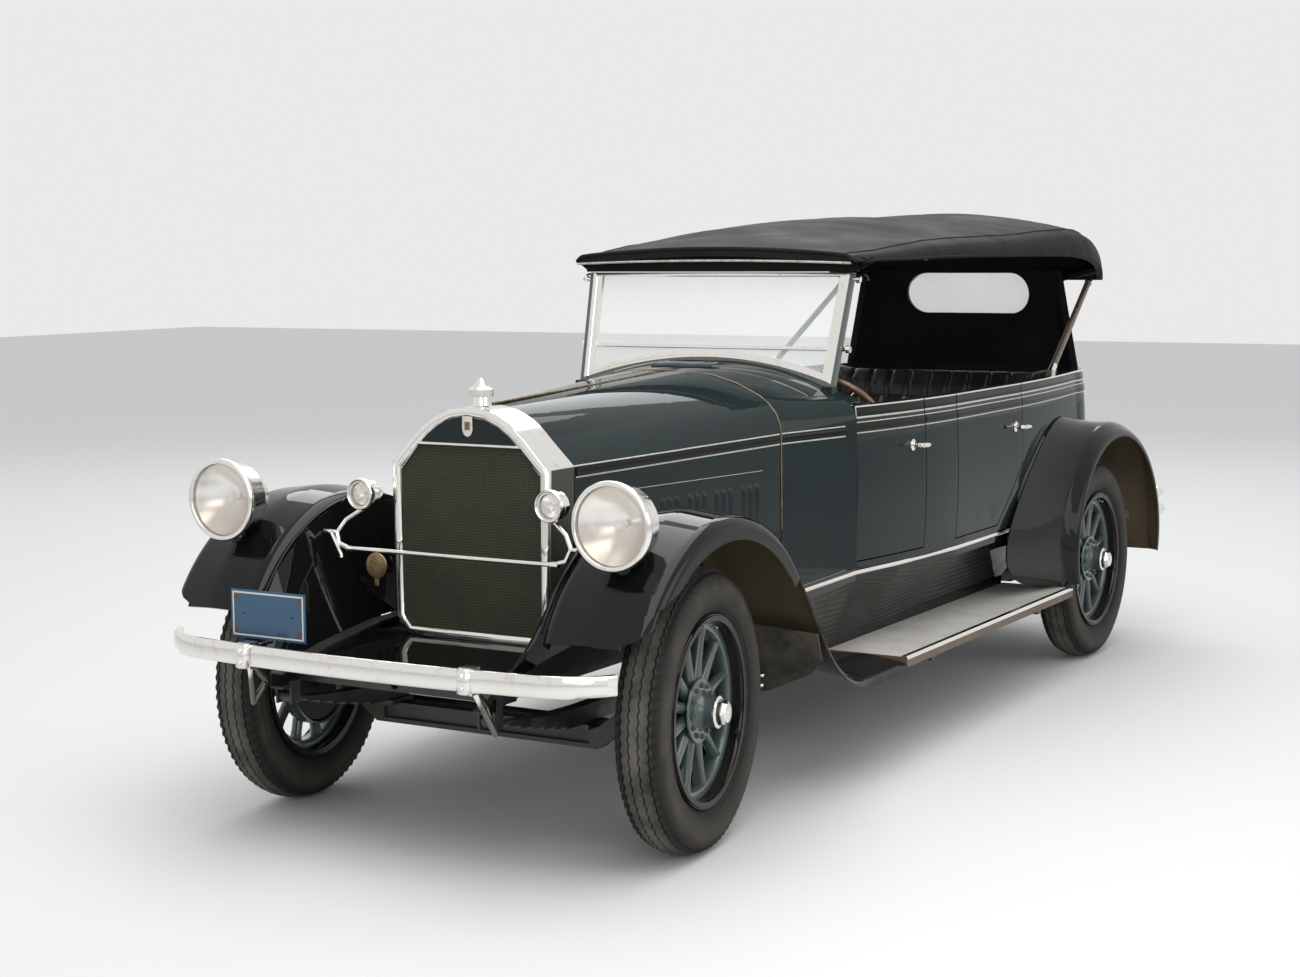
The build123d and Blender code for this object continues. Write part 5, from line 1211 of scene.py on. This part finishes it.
# The cloth is bound along its lower edges, with a welt over each shoulder seam, a roll at the front and
# a pale piping under it.
binding = Bench()
for side in (0, -1):
    binding.tube([row[side] + Vector((0, 0, 0.004)) for row in outer_rows], 0.0042, 8)
    seam = 7 if side == 0 else len(outer_rows[0]) - 8
    binding.tube([row[seam] + Vector((0, 0, 0.0005)) for row in outer_rows], 0.0030, 8)
front_edge = [p + Vector((0, -0.001, 0.001)) for p in outer_rows[0][1:-1]]
binding.tube(front_edge, 0.0085, 10)
show("roof_binding", binding, "car", top_cloth, smooth=60)
welt = Bench()
welt_half, welt_y, welt_z = 0.558, 1.4300, 1.7020
shares = [k / 12 for k in range(-12, 13)]
welt.tube([spot(welt_half * t, welt_y - 0.0010 * (1 - t ** 2), welt_z + 0.010 * (1 - t ** 2))
           for t in shares], 0.0042, 8)
show("roof_piping", welt, "car", piping, smooth=60)

# Bows and posts: varnished wood. Three bows carry the cloth from below, and a post rises to it at each
# side.
post_wood = Finish("post_wood", Roughness=0.35, Coat_Weight=0.5)
at, x, y, z = post_wood.place()
post_wood.set(Base_Color=post_wood.mottle(30, 6, at, 0.3, 0.7, (0.110, 0.080, 0.055), (0.055, 0.040, 0.028)))
dress(post_wood, "top_irons")
bows = Bench()
for y in bow_ys[:3]:
    path = []
    for k in range(-14, 15):
        x = 0.610 * k / 14
        one = touch(canopy_skin, spot(x, y, 1.2), spot(x, y, 2.4))
        if one:
            path.append(one[0] + Vector((0, 0, -0.016)))
    bows.tube(path, 0.0125, 10)
show("roof_bows", bows, "car", post_wood, smooth=60)

# Nickel sockets at the posts' feet and ferrules at their heads, pushed onto the wood.
irons = Bench()
for z, r in ((1.214, 0.0175), (1.226, 0.0190), (1.232, 0.0165)):
    irons.lathe([(z - 0.006, r), (z + 0.006, r)], 20, axis="Z", closed=False, centre=spot(0.652, 3.190, 0))
irons.tube([spot(0.6535, 3.1800, 1.222), spot(0.6480, 3.2360, 1.255)], [0.0165, 0.0155], 14)
irons.tube([spot(0.5975, 3.8060, 1.586), spot(0.5935, 3.8330, 1.602)], [0.0155, 0.0165], 14)
irons.both_sides()
show("post_fittings", irons, "car", nickel, smooth=40)

# Rear window: plain glass in the curtain, held by a black enamelled ring.
window_half, window_round, window_z = 0.2055, 0.0985, 1.540
frame_ring = Bench()
ring = []
for k in range(64):
    a = 2 * pi * k / 64
    x = window_half * (1 if cos(a) >= 0 else -1) + window_round * cos(a)
    z = window_z + window_round * sin(a)
    one = touch(canopy_skin, spot(x, 4.6, z), spot(x, 3.2, z))
    if one:
        ring.append(one[0] + Vector((0, 0.0020, 0)))
frame_ring.tube(ring, 0.0060, 8, closed=True)
show("rear_window_binding", frame_ring, "car", enamel, smooth=60)

# Bumper: one flat nickel bar curved back at its ends, clamped to brackets from the frame's front horns.
bumper_finish = Finish("bumper_finish", Metallic=1.0, Roughness=0.14)
at, x, y, z = bumper_finish.place()
spots, bright = plated(bumper_finish, 26, 8, at, dull=(0.64, 0.59, 0.52))
# The brackets behind the bar, between its curled ends, are painted dark grey: painted shade under the bar.
painted_shade_behind = bumper_finish.span(y, -2.436, -2.428)
bumper_finish.set(Base_Color=bumper_finish.mix(painted_shade_behind * (abs(x) < 0.60), bright, (0.16, 0.155, 0.145)),
                  Roughness=bumper_finish.span(spots, 0.4, 0.85, 0.09, 0.32))
dress(bumper_finish, "front_bumper")
bumper_skin = skin_of("front_bumper")
bar_half, bar_middle, bracket_x = 0.768, 0.594, 0.391
bar = Bench()
rows = []
for k in range(-30, 31):
    x = bar_half * k / 30
    found = touch(bumper_skin, spot(x, -1.4, bar_middle), spot(x, 0, bar_middle))
    if found:
        hit, n = found
        fat = 1.0 if abs(k) < 28 else 0.75
        arc = [radians(a) for a in range(-90, 91, 15)]
        rows.append([hit + Vector((0, 0, 0.0312 * sin(a) * fat)) + n * (0.0085 * cos(a) * fat - 0.0008)
                     for a in arc])
bar.grid(rows).grid([[row[0], row[-1]] for row in rows], flip=True)
bar.cap(rows[0][::-1]).cap(rows[-1])
show("bumper_crown", bar, "car", nickel, smooth=60)
bolts = Bench()
for side in (1, -1):
    x = side * bracket_x
    bolts.block(spot(x - 0.020, -0.6862, 0.5585), spot(x + 0.020, -0.6420, 0.6295), bevel=0.005)
for side in (1, -1):
    for z in (-0.024, 0.024):
        bolts.lathe([(0.0, 0.0085), (-0.005, 0.008), (-0.0075, 0.005), (-0.0085, 0.0)], 16, axis="Y",
                    closed=False, centre=spot(side * bracket_x, -0.6860, bar_middle + z * 0.7))
show("bumper_bolts", bolts, "car", nickel, smooth=50)

# Number plate: enamelled steel with a white line around a blank blue field, and rust around its bolt holes.
plate_finish = Finish("plate_enamel", Roughness=0.3, Coat_Weight=0.4)
at, x, y, z = plate_finish.place()
px, pz = abs(x + 0.390), abs(z - 0.695)
edge = (px > 0.1285).either(pz > 0.0605)
outer_edge = (px > 0.1335).either(pz > 0.0655)
line = edge * (1 - outer_edge)
rust_at = ((px - 0.118) ** 2 + (pz - 0.048) ** 2) ** 0.5
rusty = plate_finish.span(rust_at + plate_finish.noise(70, 4, at) * 0.012, 0.010, 0.019, 1, 0)
field = plate_finish.mix(line, (0.024, 0.080, 0.155), (0.60, 0.62, 0.62))
plate_finish.set(Base_Color=plate_finish.mix(rusty, field, (0.115, 0.045, 0.018)),
                 Roughness=plate_finish.span(rusty, 0, 1, 0.28, 0.85))
dress(plate_finish, "number_plate")

# Tail lamp: two nickel bullets on a stalk from the left rear fender, with red lenses behind and an amber one
# below. The stalk's foot is a turned flange that stands on the fender.
dress(nickel, "tail_lamp")
red_glass = Finish("red_lens", Roughness=0.08, Coat_Weight=1.0)
at, x, y, z = red_glass.place()
cuts = abs((x * 260) % 1 - 0.5) + abs((z * 260) % 1 - 0.5)
red_glass.set(Base_Color=red_glass.mix(cuts, (0.30, 0.012, 0.008), (0.16, 0.006, 0.004)))
amber_glass = Finish("amber_lens", Roughness=0.1, Coat_Weight=1.0)
at, x, y, z = amber_glass.place()
amber_glass.set(Base_Color=amber_glass.mix(amber_glass.noise(40, 4, at), (0.75, 0.26, 0.030),
                                           (0.55, 0.17, 0.02)))
lenses = Bench()
lamp_x = 0.800
lenses.lathe([(0.0255, 0.0245), (0.0275, 0.0225), (0.0300, 0.012), (0.0310, 0.0)], 28, axis="Y",
             closed=False, centre=spot(lamp_x, 4.200, 0.632))
lenses.lathe([(0.0255, 0.0300), (0.0275, 0.0285), (0.0315, 0.015), (0.0330, 0.0)], 28, axis="Y",
             closed=False, centre=spot(lamp_x, 4.200, 0.552))
lenses.lathe([(-0.026, 0.012), (-0.0335, 0.0115), (-0.0345, 0.0)], 20, look=1, axis="Z", closed=False,
             centre=spot(lamp_x, 4.196, 0.552))
stalk_rise, stalk_reach = radians(14), 0.630
arch_middle = spot(0.700, 3.530, 0.410)
outward = Vector((0, cos(stalk_rise), sin(stalk_rise)))
foot = touch(skin_of("rear_fenders"), arch_middle + outward, arch_middle)[0]
lenses.tube([foot + outward * a for a in (-0.003, 0.003, 0.006)], [0.021, 0.021, 0.013], 20, look=2)
lenses.tube([foot + outward * 0.002, arch_middle + outward * stalk_reach], 0.0098, 12, look=2)
show("tail_lamp_lenses", lenses, "car", [red_glass, amber_glass, nickel], smooth=50)
